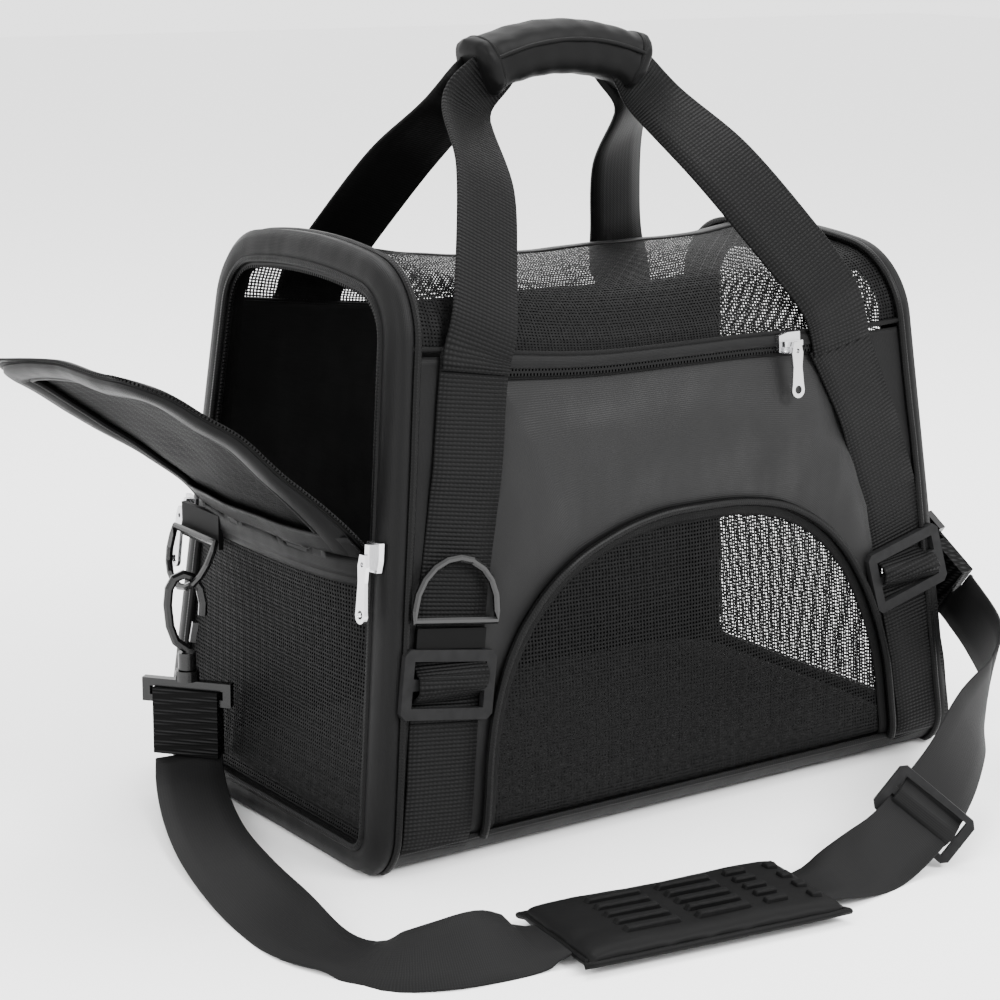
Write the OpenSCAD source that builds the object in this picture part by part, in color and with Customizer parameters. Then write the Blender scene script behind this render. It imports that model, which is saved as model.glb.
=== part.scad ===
// Soft-sided pet carrier bag with an open end door, two carrying loops joined by a
// padded grip, a zip pocket, an arched mesh window and a clip-on shoulder strap.
// Millimetres. The bag stands on z = 0, its length runs along X, the pocket side is -Y
// and the door end is -X.

/* [Bag] */
// Length of the bag along X at its base
bag_l = 400; // [380:5:430]
// Width of the bag along Y at its base
bag_w = 232; // [220:2:250]
// How far each end leans inward over the whole height
end_lean = 32; // [20:1:40]
// Wall thickness of the padded fabric and mesh panels
wall = 4; // [3:0.5:5]
// Thickness of the two end panels and their rims
end_t = 5; // [4:0.5:6]
// Width of the rim round each end panel
rim_w = 14; // [12:1:16]
// Height at which the fabric sides stop and the mesh top begins
seam_z = 258; // [250:1:262]

/* [Base] */
// Thickness of the stiff base board
board_t = 3; // [2:0.5:4]
// Thickness of the soft mat lying on the board
mat_t = 14; // [10:1:18]

/* [Door] */
// Height of the line the door folds about
door_z = 164; // [158:1:168]
// Thickness of the door flap
door_t = 4; // [3:0.5:5]
// Angle between the closed door and the drawn open door
door_open = 66; // [30:1:80]

/* [Webbing] */
// Width of the handle webbing
web_w = 42; // [38:1:42]
// Thickness of the handle webbing
web_t = 2; // [1.5:0.5:2.5]
// Width of the shoulder strap
strap_w = 38; // [36:1:40]
// Thickness of the shoulder strap
strap_t = 2; // [1.6:0.2:2.4]

/* [Grip] */
// Height of the padded grip's highest point
grip_top = 422; // [415:1:425]
// Thickness of the grip from top to underside
grip_h = 28; // [24:1:30]
// Thickness of the grip along Y
grip_w = 32; // [28:1:36]

/* [Window] */
// Height of the arched window's top above the base line
arch_top = 168; // [160:1:170]

/* [Hidden] */
half_l = bag_l / 2;
half_w = bag_w / 2;
// the cross-section: flat base, leaning sides, round shoulders, gently domed top
side_a = 4.8;
base_r = 10;
sh_r = 42;
sh_y = 51.99;
sh_z = 260.3;
dome_r = 420;
dome_z = -114;
bag_h = dome_z + dome_r;
end_a = atan(end_lean / bag_h);
// the base corner circle's centre sits so that the side plane meets z = 0 at half_w
base_y = (half_w * cos(side_a) - base_r * (1 + sin(side_a))) / cos(side_a);

function arc(cy, cz, r, a0, a1, n) =
  [for (i = [0 : n]) let (a = a0 + (a1 - a0) * i / n) [cy + r * cos(a), cz + r * sin(a)]];

// half of the section from the middle of the base to the middle of the top, inset by i
function half_loaf(i) = concat(
  [[0, i]],
  arc(base_y, base_r, base_r - min(i, base_r - 0.5), -90, side_a, 5),
  arc(sh_y, sh_z, sh_r - i, side_a, 82, 9),
  arc(0, dome_z, dome_r - i, 82.1, 90, 3)
);
// for insets wider than the base corner the base corner becomes a small fixed round
function half_in(i) = i < base_r - 1 ? half_loaf(i) : concat(
  [[0, i]],
  arc(half_w - (i + 3) * 1.0 - 1.2, i + 3, 3, -90, side_a, 3),
  arc(sh_y, sh_z, sh_r - i, side_a, 82, 9),
  arc(0, dome_z, dome_r - i, 82.1, 90, 3)
);
function mirrored(p) = [for (k = [len(p) - 2 : -1 : 1]) [-p[k][0], p[k][1]]];
function loaf_pts(i) = concat(half_in(i), mirrored(half_in(i)));

module loaf(i) {
  polygon(loaf_pts(i));
}

// a section drawn in (y, z) and drawn out along x
module along_x(l) {
  rotate([90, 0, 90])
    translate([0, 0, -l / 2])
      linear_extrude(height = l)
        children();
}

// everything between the two leaning end planes, each moved inward by d
module between_ends(d) {
  rotate([90, 0, 0])
    translate([0, 0, -200])
      linear_extrude(height = 400)
        polygon([
          [-half_l + d, 0],
          [half_l - d, 0],
          [half_l - d - end_lean * 330 / bag_h, 330],
          [-half_l + d + end_lean * 330 / bag_h, 330]
        ]);
}

// a slab along an end plane, from a to b inward of it; side is -1 or 1
module end_slab(side, a, b) {
  s = side;
  rotate([90, 0, 0])
    translate([0, 0, -200])
      linear_extrude(height = 400)
        polygon([
          [s * (half_l - a), 0],
          [s * (half_l - b), 0],
          [s * (half_l - b - end_lean * 330 / bag_h), 330],
          [s * (half_l - a - end_lean * 330 / bag_h), 330]
        ]);
}

module box(lo, hi) {
  translate(lo)
    cube(hi - lo);
}

// local frames lying on the leaning front and back faces: x along, z up the slope
module on_front() {
  translate([0, -half_w, 0])
    rotate([-side_a, 0, 0])
      children();
}
module on_back() {
  rotate([0, 0, 180])
    on_front()
      children();
}

// a plate on a face: outline in (x, z), from y0 to y1 with outward negative
module plate(y0, y1) {
  translate([0, y1, 0])
    rotate([90, 0, 0])
      linear_extrude(height = y1 - y0)
        children();
}

// ---- a tube or band swept along points as one closed solid ----
function v_unit(v) = v / norm(v);
function tube_faces(n, m, closed) = concat(
  [for (i = [0 : n - (closed ? 1 : 2)]) for (j = [0 : m - 1])
    [i * m + j, i * m + (j + 1) % m, ((i + 1) % n) * m + (j + 1) % m]],
  [for (i = [0 : n - (closed ? 1 : 2)]) for (j = [0 : m - 1])
    [i * m + j, ((i + 1) % n) * m + (j + 1) % m, ((i + 1) % n) * m + j]],
  closed ? [] : [[for (j = [m - 1 : -1 : 0]) j], [for (j = [0 : m - 1]) (n - 1) * m + j]]
);

// a ring of m points of radius r round p, square to the direction d
function ring_at(p, d, up, r, m) =
  let (b = v_unit(cross(d, up)), c = cross(b, d))
  [for (j = [0 : m - 1]) let (a = 360 * (j + 0.5) / m) p + r * (b * cos(a) + c * sin(a))];

module loop_tube(pts, up, r, m = 6) {
  n = len(pts);
  rings = [for (i = [0 : n - 1])
    each ring_at(pts[i], v_unit(pts[(i + 1) % n] - pts[(i + n - 1) % n]), up, r, m)];
  polyhedron(points = rings, faces = tube_faces(n, m, true), convexity = 6);
}

module open_tube(pts, up, r, m = 6) {
  n = len(pts);
  rings = [for (i = [0 : n - 1])
    each ring_at(
      pts[i], v_unit(pts[min(i + 1, n - 1)] - pts[max(i - 1, 0)]), up, r, m)];
  polyhedron(points = rings, faces = tube_faces(n, m, false), convexity = 6);
}

// a flat band: each entry is [centre, width direction, face direction, optional own width]
function band_ring(e, w, t) =
  let (k = len(e) > 3 ? e[3] : w, u = v_unit(e[1]) * k / 2, v = v_unit(e[2]) * t / 2)
  [e[0] - u - v, e[0] + u - v, e[0] + u + v, e[0] - u + v];

// the two broad faces are split along the same diagonal, so a twisted band stays sound
function quad(a, b, c, d, turned) = turned ? [[a, b, d], [b, c, d]] : [[a, b, c], [a, c, d]];
function band_faces(n) = concat(
  [for (i = [0 : n - 2]) for (j = [0 : 3])
    each quad(i * 4 + j, i * 4 + (j + 1) % 4, i * 4 + 4 + (j + 1) % 4, i * 4 + 4 + j, j > 1)],
  [[3, 2, 1, 0], [for (j = [0 : 3]) (n - 1) * 4 + j]]
);

module band(route, w, t) {
  n = len(route);
  rings = [for (e = route) each band_ring(e, w, t)];
  polyhedron(points = rings, faces = band_faces(n), convexity = 6);
}

// outline of an end, inset by i, lying d outside the leaning end plane
function end_x(z, d) = half_l + d - end_lean * z / bag_h;
function end_loop(side, i, d) =
  [for (p = loaf_pts(i)) [side * end_x(p[1], d), p[0], p[1]]];

// ---- colours ----
black = [0.10, 0.10, 0.11];
dark = [0.14, 0.14, 0.15];
mesh_c = [0.22, 0.22, 0.24];
web_c = [0.08, 0.08, 0.09];
metal_c = [0.75, 0.76, 0.78];
plastic_c = [0.18, 0.18, 0.19];

// ================= shell =================
module shell_ring() {
  intersection() {
    along_x(bag_l + 20)
      difference() {
        loaf(0);
        loaf(wall);
      }
    between_ends(end_t);
  }
}

arch = [
  [-136, 16], [-131, 60], [-121, 95], [-106, 122], [-82, 145], [-50, 160], [-18, arch_top - 1],
  [14, arch_top], [46, arch_top - 2], [76, 159], [103, 143], [124, 119], [138, 91], [147, 58],
  [152, 16]
];
function arch_in(d) = [for (p = arch) [
  9 + (p[0] - 9) * (1 - d / 145), 16 + (p[1] - 16) * (1 - d / 152) + (p[1] < 17 ? d : d * 0.6)]];

module bottom_panel() {
  color(black)
    intersection() {
      shell_ring();
      box([-220, -140, -1], [220, 140, base_r + 2]);
    }
}

module front_panel() {
  color(dark)
    difference() {
      intersection() {
        shell_ring();
        box([-220, -140, base_r + 2], [220, 0, seam_z]);
      }
      on_front()
        plate(-10, 12)
          polygon(arch);
    }
}

module back_panel() {
  color(dark)
    intersection() {
      shell_ring();
      box([-220, 0, base_r + 2], [220, 140, seam_z]);
    }
}

module top_panel() {
  color(mesh_c)
    intersection() {
      shell_ring();
      box([-220, -140, seam_z], [220, 140, 330]);
    }
}

module top_binding() {
  color(black)
    intersection() {
      along_x(bag_l + 20)
        difference() {
          loaf(-1.5);
          loaf(0);
        }
      between_ends(end_t + 3);
      box([-220, 62, 284], [220, 84, 330]);
    }
}

module front_window() {
  color(mesh_c)
    on_front()
      plate(1, 3)
        polygon(arch);
}

module window_piping() {
  color(black)
    on_front()
      open_tube([for (p = arch) [p[0], -1.9, p[1]]], [0, 1, 0], 2, 6);
}

// ================= ends =================
module rim(side) {
  intersection() {
    along_x(bag_l + 20)
      difference() {
        loaf(0);
        loaf(rim_w);
      }
    end_slab(side, 0, end_t);
  }
}

module left_rim() {
  color(black)
    rim(-1);
}

module right_rim() {
  color(black)
    rim(1);
}

module left_end_panel() {
  color(mesh_c)
    intersection() {
      along_x(bag_l + 20)
        loaf(rim_w);
      rotate([90, 0, 0])
        translate([0, 0, -200])
          linear_extrude(height = 400)
            polygon([
              [-end_x(0, -1), 0],
              [-end_x(0, -end_t), 0],
              [-end_x(door_z - 2, -end_t), door_z - 2],
              [-half_l + 1, door_z - 2],
              [-end_x(112, -1), 112]
            ]);
    }
}

module right_end_panel() {
  color(mesh_c)
    intersection() {
      along_x(bag_l + 20)
        loaf(rim_w);
      end_slab(1, 1, end_t);
    }
}

module left_piping_outer() {
  color(black)
    loop_tube(end_loop(-1, 2.4, 1.8), [1, 0, 0], 2, 6);
}

module left_piping_inner() {
  color(black)
    loop_tube(end_loop(-1, 12, 1.8), [1, 0, 0], 2, 6);
}

module right_piping_outer() {
  color(black)
    loop_tube(end_loop(1, 2.4, 1.8), [1, 0, 0], 2, 6);
}

module right_piping_inner() {
  color(black)
    loop_tube(end_loop(1, 12, 1.8), [1, 0, 0], 2, 6);
}

module door_zip() {
  color(black)
    intersection() {
      along_x(bag_l + 20)
        difference() {
          loaf(rim_w);
          loaf(rim_w + 3);
        }
      end_slab(-1, 1, 4);
      box([-220, -140, door_z], [0, 140, 330]);
    }
}

// ================= base =================
module base_board() {
  color(plastic_c)
    box([-187, -103.5, wall], [187, 103.5, wall + board_t]);
}

module base_mat() {
  color(dark)
    translate([0, 0, wall + board_t])
      linear_extrude(height = mat_t)
        polygon([
          [-188, -94], [-176, -106], [176, -106], [188, -94],
          [188, 94], [176, 106], [-176, 106], [-188, 94]
        ]);
}

// ================= pocket =================
module pocket_panel() {
  color(dark)
    on_front()
      plate(-1.5, 0)
        polygon([
          [-126, 118], [-98, 248], [84, 248], [103, 214], [123, 134], [108, 150], [78, 167],
          [46, 174], [14, 176], [-18, 175], [-52, 168], [-86, 152], [-113, 127]
        ]);
}

module pocket_zip() {
  color(black)
    on_front()
      plate(-1.2, 0)
        polygon([[-98, 248.2], [84, 248.2], [84, 253], [-98, 253]]);
}

module pocket_flap() {
  color(black)
    on_front()
      plate(-2.5, 0)
        polygon([[-98, 253.2], [84, 253.2], [84, 257.6], [-98, 257.6]]);
}

// ================= webbing =================
// sewn runs: centre line on the face at the base, at the fold and at the seam
fl = [[-166, 14], [-150, 130], [-130, 257]];
fr = [[184, 14], [160, 130], [113, 257]];

module sewn_web(c) {
  color(web_c)
    plate(-web_t, 0)
      polygon([
        [c[0][0] - web_w / 2, c[0][1]], [c[0][0] + web_w / 2, c[0][1]],
        [c[1][0] + web_w / 2, c[1][1]], [c[2][0] + web_w / 2, c[2][1]],
        [c[2][0] - web_w / 2, c[2][1]], [c[1][0] - web_w / 2, c[1][1]]
      ]);
}

fr_in = [[177, 14], [157, 130], [113, 257]];

module web_front_left() {
  on_front()
    sewn_web(fl);
}

module web_front_right() {
  on_front()
    sewn_web(fr_in);
}

module web_back_left() {
  on_back()
    sewn_web([fr_in[0], fr_in[1], [113, 257]]);
}

module web_back_right() {
  on_back()
    sewn_web([[-fr_in[0][0], 14], [-fr_in[1][0], 130], [-113, 257]]);
}

// free legs: from the seam up to the end of the grip, face to face with the grip's end
grip_l = -68;
grip_r = 46;
leg_z = 262;

grip_r0 = 150;
grip_cx = (grip_l + grip_r) / 2;
grip_cz = grip_top - grip_r0;
grip_a = asin(((grip_r - grip_l) / 2 + 3) / grip_r0);

// side is -1 or 1 along X, y0 the face the leg leaves and y1 its place in the grip
module leg(side, x0, y0, y1) {
  m = grip_r0 - grip_h / 2;
  out = [side * sin(grip_a), 0, cos(grip_a)];
  away = [side * cos(grip_a), 0, -sin(grip_a)];
  p1 = [grip_cx, y1, grip_cz] + m * out + 0.8 * away;
  p0 = [x0, y0, leg_z];
  mid = p0 + (p1 - p0) * 0.8 + away * 5;
  d = v_unit([p1[0] - x0, 0, p1[2] - leg_z]);
  color(web_c)
    band([
      [p0, [1, 0, 0], [0, 1, 0]],
      [p0 + (p1 - p0) * 0.22 + [0, (y1 - y0) * -0.13, 0], [d[2], 0, -d[0]], [0, 1, 0]],
      [mid, [d[2], 0, -d[0]], [0, 1, 0], 34],
      [p1, side * out, [0, 1, 0], grip_h - 2]
    ], web_w * 0.96, web_t);
}

module leg_front_left() {
  leg(-1, -130, -98.5, -7);
}

module leg_front_right() {
  leg(1, 113, -98.5, -7);
}

module leg_back_left() {
  leg(-1, -113, 98.5, 7);
}

module leg_back_right() {
  leg(1, 113, 98.5, 7);
}

// ================= grip =================
module grip() {
  color(black)
    rotate([90, 0, 0])
      translate([0, 0, -grip_w / 2])
        linear_extrude(height = grip_w)
          polygon(concat(
            arc(grip_cx, grip_cz, grip_r0, 90 - grip_a, 90 + grip_a, 12),
            arc(grip_cx, grip_cz, grip_r0 - grip_h, 90 + grip_a, 90 - grip_a, 12)
          ));
}

// ================= tri-glides =================
module tri_glide() {
  color(plastic_c)
    plate(-6.2, -2.2)
      difference() {
        polygon([[-28, -15], [-25, -18], [25, -18], [28, -15],
          [28, 15], [25, 18], [-25, 18], [-28, 15]]);
        polygon([[-22, -12], [22, -12], [22, -3], [-22, -3]]);
        polygon([[-22, 3], [22, 3], [22, 12], [-22, 12]]);
      }
}

module glide_front_left() {
  on_front()
    translate([-156, 0, 98])
      rotate([0, 9, 0])
        tri_glide();
}

module glide_front_right() {
  on_front()
    translate([163, 0, 112])
      rotate([0, -14, 0])
        tri_glide();
}

module glide_back_left() {
  on_back()
    translate([156, 0, 98])
      rotate([0, -9, 0])
        tri_glide();
}

module glide_back_right() {
  on_back()
    translate([-163, 0, 112])
      rotate([0, 14, 0])
        tri_glide();
}

// ================= rings =================
// a D-ring in (x, z): straight bar at z = 0, bow hanging to -h
module d_ring(w, h, r) {
  s = w / 2 - r;
  pts = concat(
    [[-s, 0, 0], [-s * 0.5, 0, 0], [s * 0.5, 0, 0], [s, 0, 0]],
    [for (i = [0 : 10]) let (a = -18 * i) [s * cos(a), 0, -5 + (h - 5 - 2 * r) * sin(a)]]
  );
  loop_tube(pts, [0, 1, 0], r, 8);
}

module ring_tab_front() {
  color(web_c)
    on_front()
      translate([-152, 0, 122])
        rotate([0, 8, 0])
          plate(-4.2, -2)
            polygon([[-21, -6], [21, -6], [21, 4.5], [-21, 4.5]]);
}

// the bow stands up from its bar, so it is drawn turned over
module front_ring() {
  color(metal_c)
    on_front()
      translate([-152 + 1.2, -6.6, 130.6])
        rotate([0, 8, 0])
          rotate([180, 0, 0])
            d_ring(54, 36, 2);
}

ring_y = 64;
module end_tab_left() {
  color(web_c)
    box([-half_l - 2, ring_y - 21, 141], [-half_l + 1, ring_y + 21, 160]);
}

ring_yr = -18;
ring_zr = 170;
module end_tab_right() {
  color(web_c)
    intersection() {
      end_slab(1, -3, 0);
      box([150, ring_yr - 21, ring_zr - 5], [220, ring_yr + 21, ring_zr + 14]);
    }
}

module end_ring_left() {
  color(plastic_c)
    translate([-half_l - 5.2, ring_y, 146])
      rotate([0, 20, 0])
        rotate([0, 0, 90])
          d_ring(50, 34, 2);
}

module end_ring_right() {
  color(plastic_c)
    translate([end_x(ring_zr, 6.2), ring_yr, ring_zr])
      rotate([0, -28, 0])
        rotate([0, 0, 90])
          d_ring(50, 34, 2);
}

// ================= snap hooks =================
// drawn hanging from the origin; the hook's mouth opens to +x, its face is in (x, z)
module hook_body() {
  color(plastic_c) {
    open_tube([
      [9, 0, -19], [9.5, 0, -12], [8, 0, -4], [4, 0, 2.5], [-1, 0, 4.5], [-6, 0, 2.5],
      [-9, 0, -3], [-10, 0, -12], [-9, 0, -24], [-6, 0, -33], [0, 0, -38]
    ], [0, 1, 0], 2.6, 8);
    translate([0, 0, -49])
      cylinder(h = 9.5, r = 5, $fn = 32);
  }
}

module hook_gate() {
  color(plastic_c)
    translate([9, 0, 0])
      rotate([0, 10, 0])
        box([-1.6, -1.6, -34.5], [1.6, 1.6, -23.2]);
}

module swivel_bar() {
  color(plastic_c) {
    translate([0, 0, -55.5])
      cylinder(h = 6, r = 6.5, $fn = 32);
    box([-26, -2.5, -60], [26, 2.5, -55.5]);
    box([-26, -2.5, -69], [-21.5, 2.5, -60]);
    box([21.5, -2.5, -69], [26, 2.5, -60]);
    box([-26, -2.5, -69], [26, 2.5, -65]);
  }
}

module strap_loop() {
  color(web_c) {
    box([-strap_w / 2, -5, -98], [strap_w / 2, -3, -60.3]);
    box([-strap_w / 2, 3, -98], [strap_w / 2, 5, -60.3]);
    box([-strap_w / 2, -3, -98], [strap_w / 2, 3, -72]);
    box([-strap_w / 2, -3, -64.7], [strap_w / 2, 3, -60.3]);
  }
}

// left hook hangs from the left ring, turned towards the pocket side
hook_l = [-half_l - 15.9, ring_y - 7.9, 122];
hook_r = [end_x(ring_zr, 6.2) + 14.6, ring_yr - 1.5, ring_zr - 24];
module at_left() {
  translate(hook_l)
    rotate([0, 0, -50])
      children();
}
// the right hook is drawn lifted towards the pocket side by its strap
hook_dir = [0.14, -0.78, -0.61];
module at_right() {
  translate(hook_r)
    multmatrix([
      [0, 0.990, -0.14, 0],
      [-0.616, 0.110, 0.78, 0],
      [0.788, 0.086, 0.61, 0],
      [0, 0, 0, 1]
    ])
      children();
}

module hook_left() {
  at_left()
    rotate([0, 0, 30])
      hook_body();
}

module gate_left() {
  at_left()
    rotate([0, 0, 30])
      hook_gate();
}

module swivel_left() {
  at_left()
    swivel_bar();
}

module loop_left() {
  at_left()
    strap_loop();
}

module hook_right() {
  at_right()
    rotate([0, 0, 90])
      hook_body();
}

module gate_right() {
  at_right()
    rotate([0, 0, 90])
      hook_gate();
}

module swivel_right() {
  at_right()
    swivel_bar();
}

module loop_right() {
  at_right()
    strap_loop();
}

// ================= shoulder strap =================
lw = [0.643, -0.766, 0];
lf = [0.766, 0.643, 0];
route = [
  [hook_l - [0, 0, 98.5], lw, lf],
  [[-224, 40, 15], [0.74, -0.66, 0.12], [0.6, 0.7, -0.3]],
  [[-239, 3, 10], [0.8, -0.56, 0.22], [0.4, 0.7, -0.6]],
  [[-254, -42, 9], [0.82, -0.5, 0.33], [0.5, 0.7, -0.5]],
  [[-266, -92, 9.5], [0.78, -0.42, 0.46], [0.5, 0.7, -0.5]],
  [[-271, -132, 8.5], [0.8, -0.25, 0.42], [0.5, 0.5, -0.7]],
  [[-269, -164, 4], [0.85, 0.25, 0.16], [0.1, 0.2, -1]],
  [[-260, -188, 2.4], [0.75, 0.66, 0.02], [0, 0, -1]],
  [[-252, -211, 6.5], [0.45, 0.78, 0.32], [0.3, 0.3, -0.9]],
  [[-234, -225, 10.5], [0.36, 0.68, 0.5], [0.3, 0.5, -0.8]],
  [[-213, -231, 12], [0.28, 0.7, 0.62], [0.2, 0.5, -0.85]],
  [[-193, -230.5, 8.5], [0.2, 0.9, 0.38], [0.1, 0.3, -0.95]],
  [[-177, -229, 5.2], [0.14, 1, 0], [0, 0, -1]],
  [[-132, -234.9, 5.4], [0.13, 1, 0], [0, 0, -1]],
  [[-70, -243.1, 5.4], [0.13, 1, 0], [0, 0, -1]],
  [[-27, -248.8, 5.4], [0.13, 1, 0], [0, 0, -1]],
  [[-4, -250, 8.5], [-0.1, 0.9, 0.35], [0, 0.35, -0.9]],
  [[24, -250, 15], [-0.45, 0.58, 0.68], [0.3, 0.8, -0.5]],
  [[54, -243, 26], [-0.55, 0.6, 0.58], [0.5, 0.72, -0.3]],
  [[88, -228, 37], [-0.6, 0.35, 0.72], [0.5, 0.8, 0]],
  [[122, -206, 46], [-0.62, 0.1, 0.75], [0.55, 0.75, 0.3]],
  [[150, -186, 50], [-0.55, -0.2, 0.75], [0.65, 0.65, 0.3]],
  [[176, -168, 55], [-0.35, -0.4, 0.8], [0.8, 0.55, 0.25]],
  [[197, -149, 64], [-0.15, -0.5, 0.8], [0.95, 0.3, 0.1]],
  [[212, -124, 71], [-0.05, -0.56, 0.79], [0.99, 0.2, 0.09]],
  [hook_r + 104 * hook_dir, [-0.02, -0.6, 0.79], [0.99, 0.11, 0.086]],
  [hook_r + 98.6 * hook_dir, [0, -0.616, 0.788], [0.99, 0.11, 0.086]]
];

module shoulder_strap() {
  color(web_c)
    band(route, strap_w, strap_t);
}

module shoulder_pad() {
  color(dark)
    translate([-101, -239, 0])
      rotate([0, 0, -7.5])
        difference() {
          box([-72, -33, 0.2], [72, 33, 10.2]);
          box([-80, -19.6, 3.6], [80, 19.6, 7.2]);
        }
}

module strap_slider() {
  color(plastic_c)
    translate([54, -243, 26])
      multmatrix([
        [0.535, -0.605, 0.598, 0],
        [-0.58, -0.785, -0.215, 0],
        [-0.615, 0.13, 0.77, 0],
        [0, 0, 0, 1]
      ])
        plate(1.4, 4.6)
          difference() {
            polygon([[-25, -11], [-22, -14], [22, -14], [25, -11],
              [25, 11], [22, 14], [-22, 14], [-25, 11]]);
            polygon([[-20, -10.5], [20, -10.5], [20, -2], [-20, -2]]);
            polygon([[-20, 2], [20, 2], [20, 10.5], [-20, 10.5]]);
          }
}

// ================= door =================
door_len = 126;
door_rest = round(door_open - atan((end_x(door_z, 0) - end_x(door_z + door_len, 0) + 15) / door_len));
// drawn closed and upright in (y, z) with the fold line at z = 0, then turned outward
module door_at() {
  translate([-half_l - 0.5, 0, door_z])
    rotate([0, -door_rest, 0])
      children();
}

module door_outline(i) {
  intersection() {
    translate([0, -door_z])
      loaf(rim_w + 4 + i);
    translate([-130, 3 + i])
      square([260, 200]);
  }
}

module door_frame() {
  color(black)
    door_at()
      rotate([90, 0, 90])
        linear_extrude(height = door_t)
          difference() {
            door_outline(0);
            door_outline(13);
          }
}

module door_mesh() {
  color(mesh_c)
    door_at()
      translate([1, 0, 0])
        rotate([90, 0, 90])
          linear_extrude(height = 2)
            door_outline(13);
}

// ================= zip sliders and pulls =================
// drawn with the slider's back on y = 0 facing -y, the zip running along z
module zip_slider() {
  color(metal_c) {
    plate(-3.4, -0.4)
      polygon([[-4.5, -8], [4.5, -8], [6, -2], [6, 7], [-6, 7], [-6, -2]]);
    plate(-7, -3.4)
      difference() {
        polygon([[-1.5, -7], [1.5, -7], [1.5, 6], [-1.5, 6]]);
      }
  }
}

module zip_pull(l) {
  color(metal_c)
    plate(-9.4, -7.4)
      difference() {
        polygon(concat(
          [[-3.1, -13], [-3.9, -5], [-2.4, 0.9], [2.4, 0.9], [3.9, -5], [3.1, -13], [4, -l + 7]],
          arc(0, -l + 4.4, 4.4, 0, -180, 10),
          [[-4, -l + 7]]
        ));
        translate([0, -l + 4.6])
          circle(r = 2.3, $fn = 20);
        translate([0, -4])
          circle(r = 1.3, $fn = 16);
      }
}

// the front slider lies on the rim; y is measured from the leaning front edge
function rim_y(z, i) = half_w - z * tan(side_a) - i;
front_z = 166;
back_z = 152;
module on_left_end(y, z, roll) {
  translate([-end_x(z, 3.9), y, z])
    rotate([0, end_a, 0])
      rotate([0, 0, -90])
        rotate([0, roll, 0])
          children();
}

module slider_front() {
  on_left_end(-rim_y(front_z, 7.2), front_z, -side_a)
    zip_slider();
}

module pull_front() {
  on_left_end(-rim_y(front_z, 7.2), front_z, -side_a)
    zip_pull(34);
}

module slider_back() {
  on_left_end(rim_y(back_z, 7.2), back_z, side_a)
    zip_slider();
}

module pull_back() {
  on_left_end(rim_y(back_z, 7.2), back_z, side_a)
    zip_pull(34);
}

module pocket_slider() {
  on_front()
    translate([77, -2.6, 250.6])
      rotate([0, 90, 0])
        zip_slider();
}

module pocket_pull() {
  on_front()
    translate([77, -2.6, 250.6])
      zip_pull(30);
}

// ================= assembly =================

bottom_panel();
front_panel();
back_panel();
top_panel();
top_binding();
front_window();
window_piping();
left_rim();
right_rim();
left_end_panel();
right_end_panel();
left_piping_outer();
left_piping_inner();
right_piping_outer();
right_piping_inner();
door_zip();
base_board();
base_mat();
pocket_panel();
pocket_zip();
pocket_flap();
web_front_left();
web_front_right();
web_back_left();
web_back_right();
leg_front_left();
leg_front_right();
leg_back_left();
leg_back_right();
grip();
glide_front_left();
glide_front_right();
glide_back_left();
glide_back_right();
ring_tab_front();
front_ring();
end_tab_left();
end_tab_right();
end_ring_left();
end_ring_right();
hook_left();
gate_left();
swivel_left();
loop_left();
hook_right();
gate_right();
swivel_right();
loop_right();
shoulder_strap();
shoulder_pad();
strap_slider();
door_frame();
door_mesh();
slider_front();
pull_front();
slider_back();
pull_back();
pocket_slider();
pocket_pull();
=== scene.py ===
import bpy
import math
import numpy as np
from mathutils import Matrix, Vector


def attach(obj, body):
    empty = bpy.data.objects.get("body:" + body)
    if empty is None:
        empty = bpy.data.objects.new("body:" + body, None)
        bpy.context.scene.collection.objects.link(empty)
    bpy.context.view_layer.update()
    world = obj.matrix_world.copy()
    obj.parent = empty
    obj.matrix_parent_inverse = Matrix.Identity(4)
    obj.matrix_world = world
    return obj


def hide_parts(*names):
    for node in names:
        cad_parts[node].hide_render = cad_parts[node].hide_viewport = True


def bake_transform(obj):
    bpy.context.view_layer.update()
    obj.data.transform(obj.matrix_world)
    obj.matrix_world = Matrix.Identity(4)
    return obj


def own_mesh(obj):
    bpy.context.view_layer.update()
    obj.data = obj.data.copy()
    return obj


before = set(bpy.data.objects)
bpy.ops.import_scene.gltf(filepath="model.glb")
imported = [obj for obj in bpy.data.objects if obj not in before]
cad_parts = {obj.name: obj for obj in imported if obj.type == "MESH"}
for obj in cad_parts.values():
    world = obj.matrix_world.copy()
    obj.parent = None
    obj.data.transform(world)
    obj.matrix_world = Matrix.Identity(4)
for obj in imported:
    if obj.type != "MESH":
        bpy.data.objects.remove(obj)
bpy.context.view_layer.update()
scene = bpy.context.scene

# ------------------------------------------------------------ camera
A, E = math.radians(34.94), math.radians(13.54)
back_dir = Vector((-math.sin(A) * math.cos(E), -math.cos(A) * math.cos(E), math.sin(E)))
target = Vector((0.0127, 0.0841, 0.1326))
cam = bpy.data.objects.new("camera", bpy.data.cameras.new("camera"))
scene.collection.objects.link(cam)
cam.location = target + back_dir * 1.5207
cam.rotation_euler = (-back_dir).to_track_quat("-Z", "Y").to_euler()
cam.rotation_euler.rotate_axis("Z", math.radians(0.45))
cam.data.sensor_width = 36
cam.data.lens = 90.6
cam.data.clip_end = 20
scene.camera = cam

# ------------------------------------------------------------ numbers shared with the CAD (metres)
HL, HW, LEAN, BH = 0.200, 0.116, 0.032, 0.306
SA = math.radians(4.8)
SEAM = 0.258
DOOR_Z = 0.164
TS = math.tan(SA)


def unit(v):
    v = np.asarray(v, float)
    return v / np.maximum(np.linalg.norm(v, axis=-1, keepdims=True), 1e-9)


def smooth(t):
    t = np.clip(t, 0, 1)
    return t * t * (3 - 2 * t)


def xe(z):
    return HL - LEAN * np.asarray(z) / BH


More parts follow.
